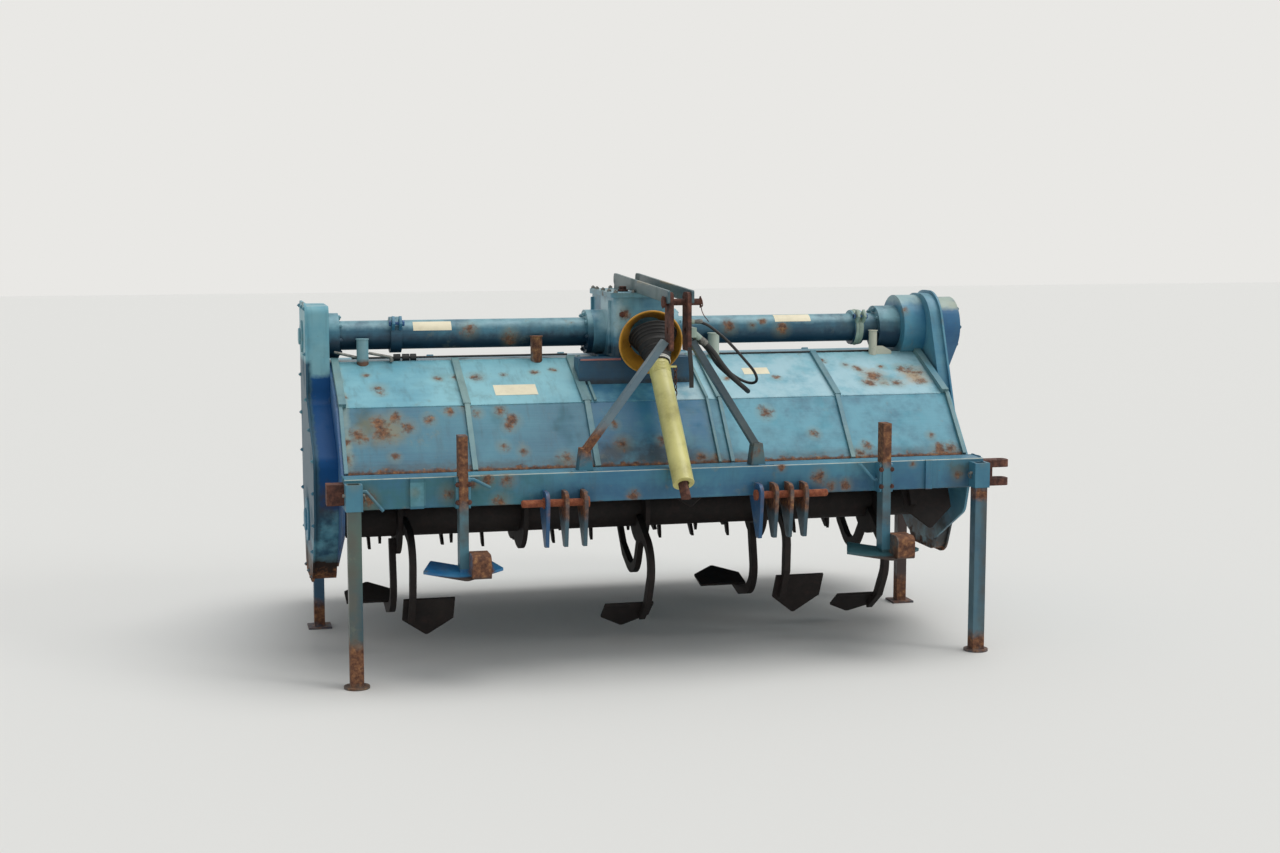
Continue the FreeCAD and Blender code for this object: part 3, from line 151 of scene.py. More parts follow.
# 1 inside a box in millimetres, with an edge that wanders by as much as ragged
def boxMask(tree, place, low, high, ragged):
    noise = addNode(tree, "ShaderNodeTexNoise", {"Scale": 40, "Detail": 4}, {"Vector": place}).outputs["Color"]
    shift = addNode(tree, "ShaderNodeVectorMath", {
        "operation": "MULTIPLY_ADD", 1: [ragged / 1000] * 3, 2: [-ragged / 2000] * 3}, {0: noise}).outputs[0]
    moved = addNode(tree, "ShaderNodeVectorMath", {"operation": "ADD"}, {0: place, 1: shift}).outputs[0]
    axes = addNode(tree, "ShaderNodeSeparateXYZ", {}, {0: moved})
    total = 1.0
    fade = ragged / 2500 + 0.0004
    for i, (start, end) in enumerate(zip(at(*low), at(*high))):
        for edge, way in ((start, 1), (end, -1)):
            inside = addNode(tree, "ShaderNodeMapRange", {1: edge - way * fade, 2: edge + way * fade},
                             {0: axes.outputs[i]}).outputs[0]
            total = chain(tree, total, ("MULTIPLY", inside))
    return total


# Wear of old enamel: repeats in a metre, with the size that they give
wear = {
    "bleach": 2.6,              # sun-bleached areas of 385 mm
    "streak": (31, 9, 2.2),     # rain streaks 32 mm wide and 450 mm long
    "brush": (3, 60, 120),      # brush marks 8 mm apart, wider than real ones so that they show
    "grime": 6.5,               # grimy areas of 150 mm
    "broad": 3.4,               # areas of 290 mm that chip more than the rest
    "chips": 34,                # chips of 30 mm, ragged down to 2 mm
    "blotch": 8.5,              # blotches of 120 mm
    "zone": 9,                  # patches of 110 mm inside a zone
    "markRim": 22,              # rims of the named marks, ragged at 45 mm
    "climbRim": 24,             # top of the rust that climbs, ragged at 42 mm
    "corner": 0.0025,           # worn corners, in metres
    "streakColour": "#33494F", "grimeColour": "#66675A", "stainColour": "#87805F", "haloColour": "#737A6A",
}


# Machinery enamel, brushed on sheet steel: satin, bleached in broad patches,
# with rain streaks, chips of bare rust from 2 mm up, and rust at the named marks.
# rusting: how far the chips have gone. low: rust that climbs from an edge, as its
# height and reach. zones: boxes that take another colour, as colour, amount,
# corners and raggedness. bare: boxes of rust, as corners and raggedness.
def enamel(name, fresh, bleached, rusting=0.5, spots=(), low=None, bare=(), zones=()):
    material, tree, shader, place = startMaterial(name, 0.45)
    worn = min(1, rusting * 1.5)
    sun = cloud(tree, place, wear["bleach"], 0.35, 0.66, 5)
    streak = cloud(tree, place, 1.0, 0.48, 0.74, 5, wear["streak"])
    brushed = cloud(tree, place, 1.0, 0.3, 0.75, 3, wear["brush"])
    grime = cloud(tree, place, wear["grime"], 0.5, 0.78, 7)
    layers = [(sun, bleached), (chain(tree, brushed, ("MULTIPLY", 0.22)), bleached),
              (chain(tree, streak, ("MULTIPLY", 0.3)), wear["streakColour"]),
              (chain(tree, grime, ("MULTIPLY", 0.4)), wear["grimeColour"])]
    for colour, amount, start, end, ragged in zones:
        zone = boxMask(tree, place, start, end, ragged)
        if amount < 1:
            patchy = chain(tree, cloud(tree, place, wear["zone"], 0.25, 0.6, 6), ("MULTIPLY", amount))
            zone = chain(tree, zone, ("MULTIPLY", patchy))
        layers.append((zone, colour))
    broad = cloud(tree, place, wear["broad"], 0.52, 0.72, 5)
    chips = cloud(tree, place, wear["chips"], 0.66, 0.72, 5, None, 0.72)
    blotch = cloud(tree, place, wear["blotch"], 0.665, 0.72, 8, None, 0.74)
    rusty = chain(tree, chips, ("MULTIPLY", chain(tree, broad, ("ADD", 0.25))), ("MAXIMUM", blotch), ("MULTIPLY", worn))
    if spots:
        ragged = addNode(tree, "ShaderNodeTexNoise", {"Scale": wear["markRim"], "Detail": 7, "Roughness": 0.75},
                         {"Vector": place}).outputs[0]
        near = marks(tree, place, spots)
        patch = chain(tree, near, ("MULTIPLY", 0.62), ("ADD", chain(tree, ragged, ("MULTIPLY", 1.5))))
        patch = addNode(tree, "ShaderNodeMapRange", {1: 1.06, 2: 1.32, 4: 0.92}, {0: patch}).outputs[0]
        patch = chain(tree, patch, ("MULTIPLY", chain(tree, near, ("GREATER_THAN", 0.01))))
        stain = addNode(tree, "ShaderNodeMapRange", {1: 0.1, 2: 1.0, 3: 0, 4: 0.5}, {0: near}).outputs[0]
        layers.append((stain, wear["stainColour"]))
        rusty = chain(tree, rusty, ("MAXIMUM", patch))
    if low:
        up = addNode(tree, "ShaderNodeSeparateXYZ", {}, {0: place}).outputs["Z"]
        edge = addNode(tree, "ShaderNodeMapRange", {1: (low[0] + low[1]) / 1000, 2: low[0] / 1000, 3: 0, 4: 0.5},
                       {0: up}).outputs[0]
        ragged = addNode(tree, "ShaderNodeTexNoise", {"Scale": wear["climbRim"], "Detail": 6, "Roughness": 0.75},
                         {"Vector": place}).outputs[0]
        edge = addNode(tree, "ShaderNodeMapRange", {1: 0.84, 2: 1.02},
                       {0: chain(tree, edge, ("ADD", ragged))}).outputs[0]
        rusty = chain(tree, rusty, ("MAXIMUM", edge))
    for start, end, ragged in bare:
        rusty = chain(tree, rusty, ("MAXIMUM", boxMask(tree, place, start, end, ragged)))
    brown, grain = rustColour(tree, place)
    halo = cloud(tree, place, wear["blotch"], 0.58, 0.68, 8, None, 0.74)
    layers += [(chain(tree, halo, ("MULTIPLY", 0.45 * worn)), wear["haloColour"]), (rusty, brown)]
    tree.links.new(coats(tree, fresh, *layers), shader.inputs["Base Color"])
    dull = chain(tree, rusty, ("MAXIMUM", grime))
    rough = addNode(tree, "ShaderNodeMapRange", {3: 0.40, 4: 0.88}, {0: dull})
    tree.links.new(rough.outputs[0], shader.inputs["Roughness"])
    height = chain(tree, rusty, ("MULTIPLY", grain), ("ADD", chain(tree, brushed, ("MULTIPLY", 0.25))))
    soft = addNode(tree, "ShaderNodeBevel", {"Radius": wear["corner"], "samples": 4})
    bump = addNode(tree, "ShaderNodeBump", {"Strength": 0.45, "Distance": 0.0012},
                   {"Height": height, "Normal": soft.outputs[0]})
    tree.links.new(bump.outputs[0], shader.inputs["Normal"])
    return material


# Plain metal whose colour wanders between a few browns or greys
def bareMetal(name, stops, scale, roughness, metallic, bump=0.6, dust=None):
    material, tree, shader, place = startMaterial(name, roughness, metallic)
    noise = addNode(tree, "ShaderNodeTexNoise", {"Scale": scale, "Detail": 8, "Roughness": 0.72},
                    {"Vector": place}).outputs[0]
    colour = addNode(tree, "ShaderNodeValToRGB", {"stops": stops}, {0: noise}).outputs[0]
    if dust:
        settled = chain(tree, cloud(tree, place, 7, 0.45, 0.7, 6), ("MULTIPLY", 0.6))  # drifts of 140 mm
        colour = coats(tree, colour, (settled, dust))
    tree.links.new(colour, shader.inputs["Base Color"])
    soft = addNode(tree, "ShaderNodeBevel", {"Radius": 0.002, "samples": 4})
    ridge = addNode(tree, "ShaderNodeBump", {"Strength": bump, "Distance": 0.0015},
                    {"Height": noise, "Normal": soft.outputs[0]})
    tree.links.new(ridge.outputs[0], shader.inputs["Normal"])
    return material


# Moulded plastic or rubber: even colour, dirt in smears of 70 and 200 mm, and a
# grain of 1.1 mm, which is coarser than the real one so that it shows
plastic = {"dirt": 14, "smear": 5, "grain": 900}


def moulded(name, clean, dirty, roughness, dirt=0.5):
    material, tree, shader, place = startMaterial(name, roughness)
    grime = chain(tree, cloud(tree, place, plastic["dirt"], 0.44, 0.72, 7), ("MULTIPLY", dirt))
    smear = chain(tree, cloud(tree, place, plastic["smear"], 0.45, 0.7, 5), ("MULTIPLY", dirt * 0.6))
    tree.links.new(coats(tree, clean, (grime, dirty), (smear, dirty)), shader.inputs["Base Color"])
    fine = addNode(tree, "ShaderNodeTexNoise", {"Scale": plastic["grain"], "Detail": 2}, {"Vector": place}).outputs[0]
    ridge = addNode(tree, "ShaderNodeBump", {"Strength": 0.25, "Distance": 0.0004}, {"Height": fine})
    tree.links.new(ridge.outputs[0], shader.inputs["Normal"])
    return material


# Rust on the hood and the beam: a mark's place and radius in millimetres
hoodSpots = [
    (905, 546, 1062, 50), (948, 490, 1036, 85), (914, 442, 1013, 60), (975, 438, 1011, 50), (1032, 437, 1011, 60),
    (1091, 546, 1062, 60), (1130, 515, 1048, 90), (1141, 449, 1016, 60), (860, 575, 1076, 40), (1010, 560, 1069, 35),
    (895, 560, 1069, 40), (538, 498, 1039, 38), (769, 610, 1093, 40), (-669, 551, 1065, 62), (-1055, 490, 1036, 60),
    (-1050, 455, 1019, 45), (-1093, 578, 1077, 32), (-822, 543, 1061, 38), (-748, 550, 1064, 40), (-437, 572, 1074, 38),
    (-358, 587, 1081, 34), (-1203, 433, 1009, 50), (-560, 560, 1069, 30), (330, 500, 1040, 35),
]
lowerSpots = [
    (-805, 344, 955, 42), (-1011, 331, 939, 52), (-1076, 314, 919, 75), (-1056, 286, 887, 95), (-1150, 279, 878, 70),
    (-964, 302, 906, 60), (-886, 321, 928, 50), (-572, 312, 917, 60), (-585, 296, 898, 50), (-611, 340, 950, 48),
    (-618, 237, 828, 45), (-545, 223, 811, 42), (-700, 337, 946, 42), (-1026, 217, 804, 42), (-742, 365, 979, 60),
    (-389, 198, 782, 60), (-159, 237, 828, 60), (-181, 293, 894, 40), (-3, 241, 833, 45), (435, 314, 920, 60),
    (612, 248, 841, 46), (146, 190, 773, 50), (194, 184, 765, 40), (812, 206, 791, 45), (1093, 230, 820, 36),
    (1116, 187, 769, 60), (1163, 189, 771, 55), (781, 184, 766, 50), (-1205, 260, 856, 50), (-1200, 215, 800, 50),
]
beamSpots = [
    (-856, 30, 690, 60), (-713, 30, 741, 55), (-640, 30, 740, 60), (-759, 30, 727, 40), (-667, 30, 650, 60),
    (-1155, 30, 681, 70), (665, 30, 668, 45), (939, 30, 740, 30), (1127, 30, 691, 42), (-168, 30, 655, 45),
    (559, 30, 701, 60), (609, 30, 665, 45), (-980, 30, 700, 30), (409, 30, 745, 34),
]
# Hood slope enamel: chalky pale blue, bleached, with painted light for full sun; crisp rust marks of 60 to 180 mm.
enamelHoodTop = enamel("bleachedAndLitHoodEnamel", "#5FA0B2", "#86C0CA", 0.45, hoodSpots,
                       bare=[((-1219, 300, 930), (-1212, 1000, 1200), 8)], zones=[
                           ("#9AA99A", 0.8, (-1219, 300, 930), (-1186, 640, 1110), 22),
                           ("#2F7396", 0.95, (-250, 340, 960), (180, 700, 1130), 60),
                           ("#A9C6CB", 0.95, (60, 300, 940), (200, 470, 1030), 60),
                           ("#A5CAD3", 0.9, (200, 300, 930), (1250, 700, 1130), 120),
                           ("#B98E5A", 0.75, (915, 445, 930), (1000, 530, 1110), 70),
                           ("#B98E5A", 0.75, (1075, 445, 930), (1175, 550, 1110), 70)])
# The same on the steep front: deeper blue with painted shade, rust climbing 40 mm from the lower edge.
enamelHoodLow = enamel("blueEnamel", "#27667E", "#408193", 0.5, lowerSpots, (752, 40),
                       bare=[((-1219, 100, 700), (-1212, 400, 1000), 8)], zones=[
                           ("#84988F", 0.8, (-1219, 100, 740), (-1184, 420, 985), 22),
                           ("#6E6B50", 0.75, (-1165, 240, 850), (-985, 352, 945), 70),
                           ("#5AA0B2", 0.9, (250, 60, 700), (1250, 500, 1000), 160),
                           ("#1C688C", 0.95, (-262, 60, 740), (190, 460, 990), 40),
                           ("#1E2E38", 0.9, (-262, 100, 740), (120, 260, 850), 90),
                           # A darker band up to 790 mm, then painted shadow: a near-black line at the foot, in the gap
                           # above the beam
                           ("#2C4048", 0.7, (-1219, 100, 740), (1219, 200, 790), 30),
                           ("#182024", 1, (-1225, 100, 700), (1225, 400, 756), 2)])
# Enamel on the hood's back and crest: plain mid blue, with rust 34 mm up from the edge.
enamelHoodRear = enamel("rearHoodEnamel", "#3A7F9C", "#6AA4B0", 0.55, [
    (-700, 1250, 860, 60), (400, 1400, 755, 50), (900, 1100, 973, 45), (-200, 1500, 700, 60)], (650, 34))
# Enamel on the beam: greyer at the ends where soil sticks, a paler upright strip, a painted highlight on the top front
# edge.
enamelBeam = enamel("beamEnamel", "#2E6989", "#47869B", 0.6, beamSpots, zones=[
    ("#46544F", 0.9, (530, 0, 600), (720, 60, 690), 40),
    ("#7DB6C6", 0.9, (-998, -20, 650), (-940, 32, 736), 4),
    ("#4D5A4C", 0.8, (-1240, 0, 600), (-1100, 60, 690), 40),
    ("#2F6A70", 0.8, (-1240, 0, 630), (-500, 60, 760), 60),
    ("#4A5C58", 0.9, (1080, 0, 600), (1240, 60, 745), 60),
    ("#2A5C7E", 0.8, (-560, 0, 630), (1240, 60, 700), 60),
    # Painted highlight: a pale strip along the beam's top front edge, where the top face catches the light
    ("#BFC3B0", 1, (-1240, 20, 750.4), (1240, 33, 760), 2)], low=(632, 22))
# Enamel on the cross tubes: painted light along the top and painted shade underneath, near navy, darkest on the left.
enamelTube = enamel("tubeEnamel", "#1E4C62", "#457C8E", 0.5, [
    (-673, 697, 1241, 62), (-510, 693, 1214, 60), (-508, 706, 1183, 50), (398, 694, 1232, 55), (497, 696, 1238, 34),
    (623, 693, 1218, 60), (542, 705, 1255, 34)], zones=[
    # Painted light along the top, then painted shade on the underside
    ("#84B2BB", 0.8, (-1320, 660, 1252), (1200, 820, 1320), 26),
    ("#14384E", 1, (-1320, 600, 1100), (1200, 900, 1216), 44),
    ("#0C2A3C", 0.9, (-1320, 600, 1100), (-180, 900, 1205), 44)])
# Enamel on the cast gearbox: a painted highlight on the face toward the light, almost black at the foot, dusty on the
# lid.
enamelGear = enamel("gearboxEnamel", "#2A6685", "#6FA8B8", 0.55, [(-80, 520, 1300, 45), (100, 480, 1385, 60)], zones=[
    # Painted highlight on the face toward the light
    ("#A9CAD0", 0.95, (-150, 480, 1225), (-84, 760, 1356), 40),
    ("#12303F", 0.9, (-180, 400, 1125), (170, 960, 1180), 30),
    ("#6E7F72", 0.9, (-140, 500, 1378), (130, 960, 1400), 40)])
# Enamel under the gearbox: navy with painted shade, hardly bleached, darkest along its lowest 30 mm.
enamelRail = enamel("railEnamel", "#153F5A", "#245A76", 0.4, zones=[
    ("#111C22", 0.8, (-300, 400, 1020), (200, 900, 1050), 20)])
# Enamel on the right case and the rear board: mid blue, brown with soil below 470 mm.
enamelCase = enamel("caseEnamel", "#3C7C9A", "#6FA6B2", 0.6, [(1250, 640, 1230, 35)], (300, 160), zones=[
    ("#37302C", 0.95, (1180, 300, 280), (1400, 800, 470), 90)])
# Left case enamel: chalky above, painted shade in the recess and on the outer face, brown with soil at the foot.
enamelCaseLeft = enamel("leftCaseEnamel", "#5C9CB0", "#86B6BE", 0.6, [
    (-1285, 640, 1236, 40), (-1330, 700, 1360, 60), (-1262, 560, 1120, 40)], (300, 160), zones=[
    # Painted shade: strong blue in the recess
    ("#1A5288", 1, (-1306, 200, 600), (-1180, 700, 1075), 22),
    ("#4A4444", 0.95, (-1400, 200, 560), (-1180, 520, 680), 90),
    ("#1F3F58", 0.95, (-1400, 200, 400), (-1180, 900, 590), 60),
    ("#2B211D", 1, (-1400, 200, 280), (-1180, 900, 400), 40),
    # Painted shade on the outer face, which faces away from the light
    ("#34586A", 1, (-1400, 200, 480), (-1300, 900, 1130), 20)])
# The outer case faces away from the light, so its old enamel hardly shines
enamelCaseLeft.node_tree.nodes["Principled BSDF"].inputs["Specular IOR Level"].default_value = 0.12
# Enamel on the gear head: strong blue with a greyed top.
enamelHead = enamel("gearHeadEnamel", "#1D668F", "#4F90A6", 0.5, [(1140, 640, 1290, 34)], zones=[
    ("#9CB9B6", 0.8, (1120, 600, 1320), (1240, 900, 1380), 24)])
# Enamel on the rear drive case: the deepest blue, with a dusty top.
enamelRear = enamel("rearCaseEnamel", "#145080", "#38769A", 0.5, [(1370, 660, 1330, 45)], zones=[
    ("#A9B8A8", 0.9, (1290, 600, 1296), (1400, 900, 1360), 24)])
# Enamel on the side plates: violet blue, darkened with painted shade, scoured brown by soil at the front edge.
enamelDeep = enamel("deepBlueEnamel", "#2F5B93", "#4A78A0", 0.9, (), (350, 200), zones=[
    ("#3E3C40", 0.8, (-1240, 100, 330), (-1200, 500, 640), 70)])
# Enamel on the hood's ribs: rubbed thin, so it looks dull and flecked.
enamelWorn = enamel("wornBlueEnamel", "#467C8E", "#7A9C9A", 1.0)
# Left front stand: grey blue, bare rust for 165 mm above its foot.
enamelStandLeft = enamel("wornStandEnamel", "#33525D", "#55695F", 1.0, bare=[((-1260, -80, 0), (-1140, 80, 165), 60)],
                         zones=[("#5B5A50", 0.8, (-1260, -80, 0), (-1192, 80, 745), 30)])
# Right front stand: bluer, with rust at its foot and round its upper end.
enamelStandRight = enamel("blueStandEnamel", "#305A70", "#4E7482", 0.95, bare=[
    ((1140, -80, 0), (1260, 80, 70), 50), ((1170, -60, 596), (1240, 60, 645), 30)],
    zones=[("#4A4A46", 0.8, (1206, -80, 0), (1260, 80, 645), 30)])
# Rear stands: dark blue, rust up to 110 mm, the right one brown all over.
enamelStandRear = enamel("rearStandEnamel", "#1F4C6C", "#39647A", 0.9,
                         bare=[((-1400, 800, 0), (1400, 1200, 110), 60)], zones=[
                             ("#3A2A26", 1, (1200, 800, 0), (1400, 1200, 700), 60)])
# Steel with old rust: matt brown in patches of 24 mm, with no shine.
rustBrown = bareMetal("rustedSteel", [(0.3, "#2B1A16"), (0.45, "#4B2F27"), (0.58, "#694235"), (0.75, "#8F6247")],
                      42, 0.88, 0.0, 0.8)
# Steel with fresh rust on the hitch pins: brighter and finer, in patches of 17 mm.
pinRust = bareMetal("orangeRust", [(0.3, "#5A2E20"), (0.5, "#8A4A30"), (0.7, "#A86A48")], 60, 0.9, 0.0, 0.7)
# Forged steel stained by soil: near black with a faint glint, dust in drifts.
rustDark = bareMetal("soilDarkSteel", [(0.3, "#0F0B0A"), (0.5, "#1B1412"), (0.66, "#2A1D1A"), (0.8, "#3C2A22")],
                     30, 0.72, 0.2, 0.7, "#2A2420")
# Grey paint on the left leg: flat, bare rust above a foot that stayed blue.
legLeft = enamel("greyLegPaint", "#566E7C", "#72848A", 0.7, bare=[((-400, 0, 800), (-250, 120, 905), 70)], zones=[
    ("#2B6C80", 1, (-460, 0, 700), (-300, 140, 812), 12)])
# Darker grey on the right leg, with the same blue foot.
legRight = enamel("darkLegPaint", "#384A54", "#57676A", 0.9, [(322, 60, 800, 60)], zones=[
    ("#2B6274", 1, (300, 0, 700), (460, 140, 822), 12)])
# Blue-grey paint on the braces: flat and worn, ochre dust at the very top.
braceBlue = enamel("bracePaint", "#3B5660", "#5A706F", 0.9, zones=[
    ("#9B8A66", 0.9, (-60, 0, 1425), (80, 500, 1460), 8)])
# Enamel on the stands' sleeves: stronger blue, rust round the pins.
sleevePaint = enamel("sleeveEnamel", "#2B6683", "#4A8599", 0.95, [(-1201, -10, 740, 40), (1201, -10, 736, 30)])
# Zinc plate gone dull: a soft grey glint with rust freckles of 11 mm.
zinc = bareMetal("dulledZinc", [(0.3, "#55534E"), (0.5, "#7B7B76"), (0.7, "#97958E"), (0.85, "#6B4A33")],
                 90, 0.5, 0.75, 0.3)
# Left track tine: paint almost gone, rust over its upper part.
tineLeft = enamel("rustedTineBar", "#3A6C80", "#4F7F8C", 1.0, bare=[((-900, -60, 646), (-700, 60, 920), 50)],
                  zones=[("#4A4640", 0.8, (-900, -60, 520), (-700, 60, 660), 60)])
# Right track tine: painted up to 744 mm, rust above.
tineRight = enamel("halfPaintedTineBar", "#34697F", "#4F8494", 0.9, bare=[((700, -60, 744), (900, 60, 920), 34)],
                   zones=[("#4A4640", 0.7, (700, -60, 520), (900, 60, 660), 60)])
# Hitch lugs: dark paint, rust where the links rub, clean blue on the outer faces.
lugBar = enamel("halfPaintedLug", "#2C4653", "#40606C", 0.8, bare=[
    ((-496, -60, 590), (-350, 100, 700), 40), ((315, -60, 590), (500, 100, 700), 40)], zones=[
    ("#1F517A", 1, (-530, -60, 480), (-496, 100, 700), 4),
    ("#1F517A", 1, (280, -60, 480), (315, 100, 700), 4)])
# Left share: bright blue, with the nose and the lower edge scoured brown.
shareLeft = enamel("shareEnamel", "#1F66A0", "#3F84AC", 0.7, bare=[((-796, -140, 402), (-700, 60, 500), 14)], zones=[
    ("#33241F", 1, (-980, -140, 380), (-640, 140, 402), 4), ("#33241F", 1, (-980, -140, 380), (-640, -84, 440), 20)])
# Right share: dull teal, with a wider brown nose.
shareRight = enamel("tealShareEnamel", "#284E58", "#3C646A", 0.9, bare=[((826, -140, 402), (920, 60, 500), 14)],
                    zones=[
    ("#3A2C25", 1, (640, -140, 380), (980, 140, 402), 4), ("#3A2C25", 1, (640, -140, 380), (980, -70, 440), 30)])
# Polyethylene guard tube: smooth and a little waxy, faded to pale yellow under grime.
guardYellow = moulded("fadedYellowPlastic", "#DDD68A", "#8A8044", 0.3, 0.45)
# Moulded polyethylene cone: satin orange yellow with brown smears of grease.
coneOrange = moulded("orangeYellowPlastic", "#DCA03A", "#6A481C", 0.5, 0.5)
# Moulded rubber of the bell and the strap: near black and dull, greyed by dust.
blackRubber = moulded("blackRubber", "#151516", "#3A3733", 0.6, 0.4)
# Cover of the hydraulic hoses: black, a little smoother than the bell.
hoseRubber = moulded("hoseRubber", "#121314", "#35322C", 0.5, 0.35)
# Vinyl film: even cream, slightly soiled.
cream = moulded("blankCreamFilm", "#F2E7C8", "#A99B77", 0.55, 0.22)
# Moulded nylon collar: satin off-white.
whiteNylon = moulded("whiteNylon", "#E2E1D8", "#8C8674", 0.5, 0.4)
# Pale green paint on the sockets and the right clamp: chalky and even.
paleGreen = enamel("paleGreenPaint", "#87A093", "#AFC0AE", 0.7)
# Enamel on the hood's posts: pale blue, each stained in its own way.
postPaint = enamel("postEnamel", "#6FA5B3", "#9CBBBB", 0.8, bare=[((-440, 600, 1100), (-380, 720, 1226), 30)], zones=[
    ("#6A4A38", 1, (-1130, 600, 1100), (-1060, 720, 1128), 16),
    ("#C0764E", 0.8, (-440, 600, 1150), (-380, 720, 1230), 20),
    ("#B9C3B4", 1, (290, 600, 1100), (360, 720, 1230), 20),
    ("#C9C8B4", 1, (980, 600, 1100), (1100, 720, 1230), 20)])
# Red paint on the rail's strip: faded to a dull pink.
redPaint = enamel("redPaint", "#A8605C", "#B97F78", 0.5)

finishes = {
    "hood_upper": enamelHoodTop, "hood_top": enamelHoodRear, "hood_lower": enamelHoodLow, "hood_rear": enamelHoodRear,
    "hood_ribs": enamelWorn, "front_beam": enamelBeam, "beam_fittings": enamelBeam,
    "cross_tube_left": enamelTube, "cross_tube_right": enamelTube, "gearbox": enamelGear, "gearbox_lid": enamelGear,
    "gearbox_rail": enamelRail, "left_case": enamelCaseLeft, "right_case": enamelCase, "right_gear_head": enamelHead,
    "rear_drive_case": enamelRear, "rear_drive_hubs": enamelRear, "side_plate_left": enamelDeep,
    "side_plate_right": enamelCase, "rear_board": enamelCase, "rear_rotor_tube": rustDark,
    "front_stand_left": enamelStandLeft, "front_stand_right": enamelStandRight, "rear_stand_left": enamelStandRear,
    "rear_stand_right": enamelStandRear, "stand_sleeves": sleevePaint, "rotor_bearings": enamelDeep,
    "rotor_discs": rustDark, "rotor_shaft": rustDark, "spade_arms_left": rustDark, "spade_arms_right": rustDark,
    "spade_blades_left": rustDark, "spade_blades_right": rustDark, "tine_left": tineLeft, "tine_right": tineRight,
    "tine_holders": enamelBeam, "share_left": shareLeft, "share_right": shareRight,
    "hitch_lugs_left": lugBar, "hitch_lugs_right": lugBar, "hitch_pin_left": pinRust,
    "hitch_pin_right": pinRust, "headstock_plates": rustBrown, "top_link_pin": rustBrown,
    "headstock_leg_left": legLeft, "headstock_leg_right": legRight, "headstock_braces": braceBlue,
    "hose_sockets": paleGreen, "end_clevis": rustBrown, "end_plate": rustBrown, "input_yoke": rustBrown,
    "shaft_cross": rustBrown, "shaft_profile": rustBrown, "shaft_guard": guardYellow, "shaft_bell": blackRubber,
    "guard_cone": coneOrange, "hood_pipes": hoseRubber, "hood_posts": postPaint,
}
for name, node in nodes.items():
    node.data.materials.clear()
    node.data.materials.append(finishes.get(name, enamelCase))
print("materials made:", len(bpy.data.materials))


def finish(name, bm, material, body="frame", angle=35):
    bmesh.ops.translate(bm, verts=bm.verts, vec=(homeX, homeY, 0))
    bmesh.ops.scale(bm, verts=bm.verts, vec=(0.001, 0.001, 0.001))
    bmesh.ops.recalc_face_normals(bm, faces=bm.faces)
    mesh = bpy.data.meshes.new(name)
    bm.to_mesh(mesh)
    bm.free()
    mesh.polygons.foreach_set("use_smooth", [True] * len(mesh.polygons))
    mesh.set_sharp_from_angle(angle=math.radians(angle))
    mesh.materials.append(material)
    piece = bpy.data.objects.new(name, mesh)
    scene.collection.objects.link(piece)
    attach(piece, body)
    return piece


def roundEdges(bm, edges, width):
    bmesh.ops.bevel(bm, geom=edges, offset=width, segments=2, profile=0.5, affect="EDGES", material=-1)


def settle(bm, made, turn, centre):
    bmesh.ops.rotate(bm, verts=made, cent=(0, 0, 0), matrix=turn)
    bmesh.ops.translate(bm, verts=made, vec=centre)


def aimed(way):
    return Vector(way).to_track_quat("Z", "Y").to_matrix()


def block(bm, low, high, bevel=0, turn=Matrix.Identity(3)):
    made = bmesh.ops.create_cube(bm, size=1)["verts"]
    low, high = Vector(low), Vector(high)
    bmesh.ops.scale(bm, verts=made, vec=high - low)
    settle(bm, made, turn, (low + high) / 2)
    if bevel:
        roundEdges(bm, list({edge for vert in made for edge in vert.link_edges}), bevel)


def rod(bm, start, end, radius, sides=20, other=None, bevel=0):
    start, end = Vector(start), Vector(end)
    way = end - start
    made = bmesh.ops.create_cone(bm, cap_ends=True, segments=sides, radius1=radius,
                                 radius2=radius if other is None else other, depth=way.length)["verts"]
    settle(bm, made, aimed(way), (start + end) / 2)
    if bevel:
        rims = [edge for edge in {e for v in made for e in v.link_edges}
                if any(len(face.verts) > 4 for face in edge.link_faces)]
        roundEdges(bm, rims, bevel)


def rods(bm, rows):  # rows of start, end, radius, sides and bevel
    for start, end, radius, sides, bevel in rows:
        rod(bm, start, end, radius, sides, bevel=bevel)


# Hexagon head on a washer, its face on the surface at place
def bolt(bm, place, way, across=15, tall=6):
    place, way = Vector(place), Vector(way).normalized()
    rod(bm, place - way * 1, place + way * 2.5, across * 0.62, 14)
    rod(bm, place + way * 2.5, place + way * (2.5 + tall), across * 0.56, 6)
    rod(bm, place + way * (2.5 + tall), place + way * (6 + tall), across * 0.26, 8)


# Ring of round wire; stretch makes it an oval link
def ring(bm, centre, way, radius, wire, steps=36, sides=8, stretch=1):
    before = set(bm.verts)
    made = bmesh.ops.create_circle(bm, segments=sides, radius=wire)["verts"]
    settle(bm, made, Matrix.Rotation(math.pi / 2, 3, "X"), (radius, 0, 0))
    rim = list({edge for vert in made for edge in vert.link_edges})
    bmesh.ops.spin(bm, geom=made + rim, cent=(0, 0, 0), axis=(0, 0, 1), angle=math.tau, steps=steps, use_merge=True)
    made = [vert for vert in bm.verts if vert not in before]
    bmesh.ops.scale(bm, verts=made, vec=(1, stretch, 1))
    settle(bm, made, aimed(Vector(way).normalized()), Vector(centre))


# Bead of weld from one point to another, in short overlapping ripples
def bead(bm, start, end, size=3):
    start, end = Vector(start), Vector(end)
    way = (end - start).normalized()
    done = 0
    while done < (end - start).length - 6:
        long = random.uniform(12, 19)
        wide = size * random.uniform(0.8, 1.15)
        rod(bm, start + way * done, start + way * (done + long), wide, 8, wide * 0.8)
        done += long - 2


# Points along a closed outline, a step apart
def along(outline, step):
    points = []
    for i, start in enumerate(outline):
        start, end = Vector(start), Vector(outline[(i + 1) % len(outline)])
        count = max(1, round((end - start).length / step))
        points += [start.lerp(end, k / count) for k in range(count)]
    return points


def turns(count, first=0.0):  # angles of bolts spread evenly round a circle
    return [math.tau * k / count + first for k in range(count)]


# Y and Z of the lines that the tubes and the rotors lie on
tubeLine = (750, 1220)
spadeLine = (620, 520)
rearLine = (1350, 470)


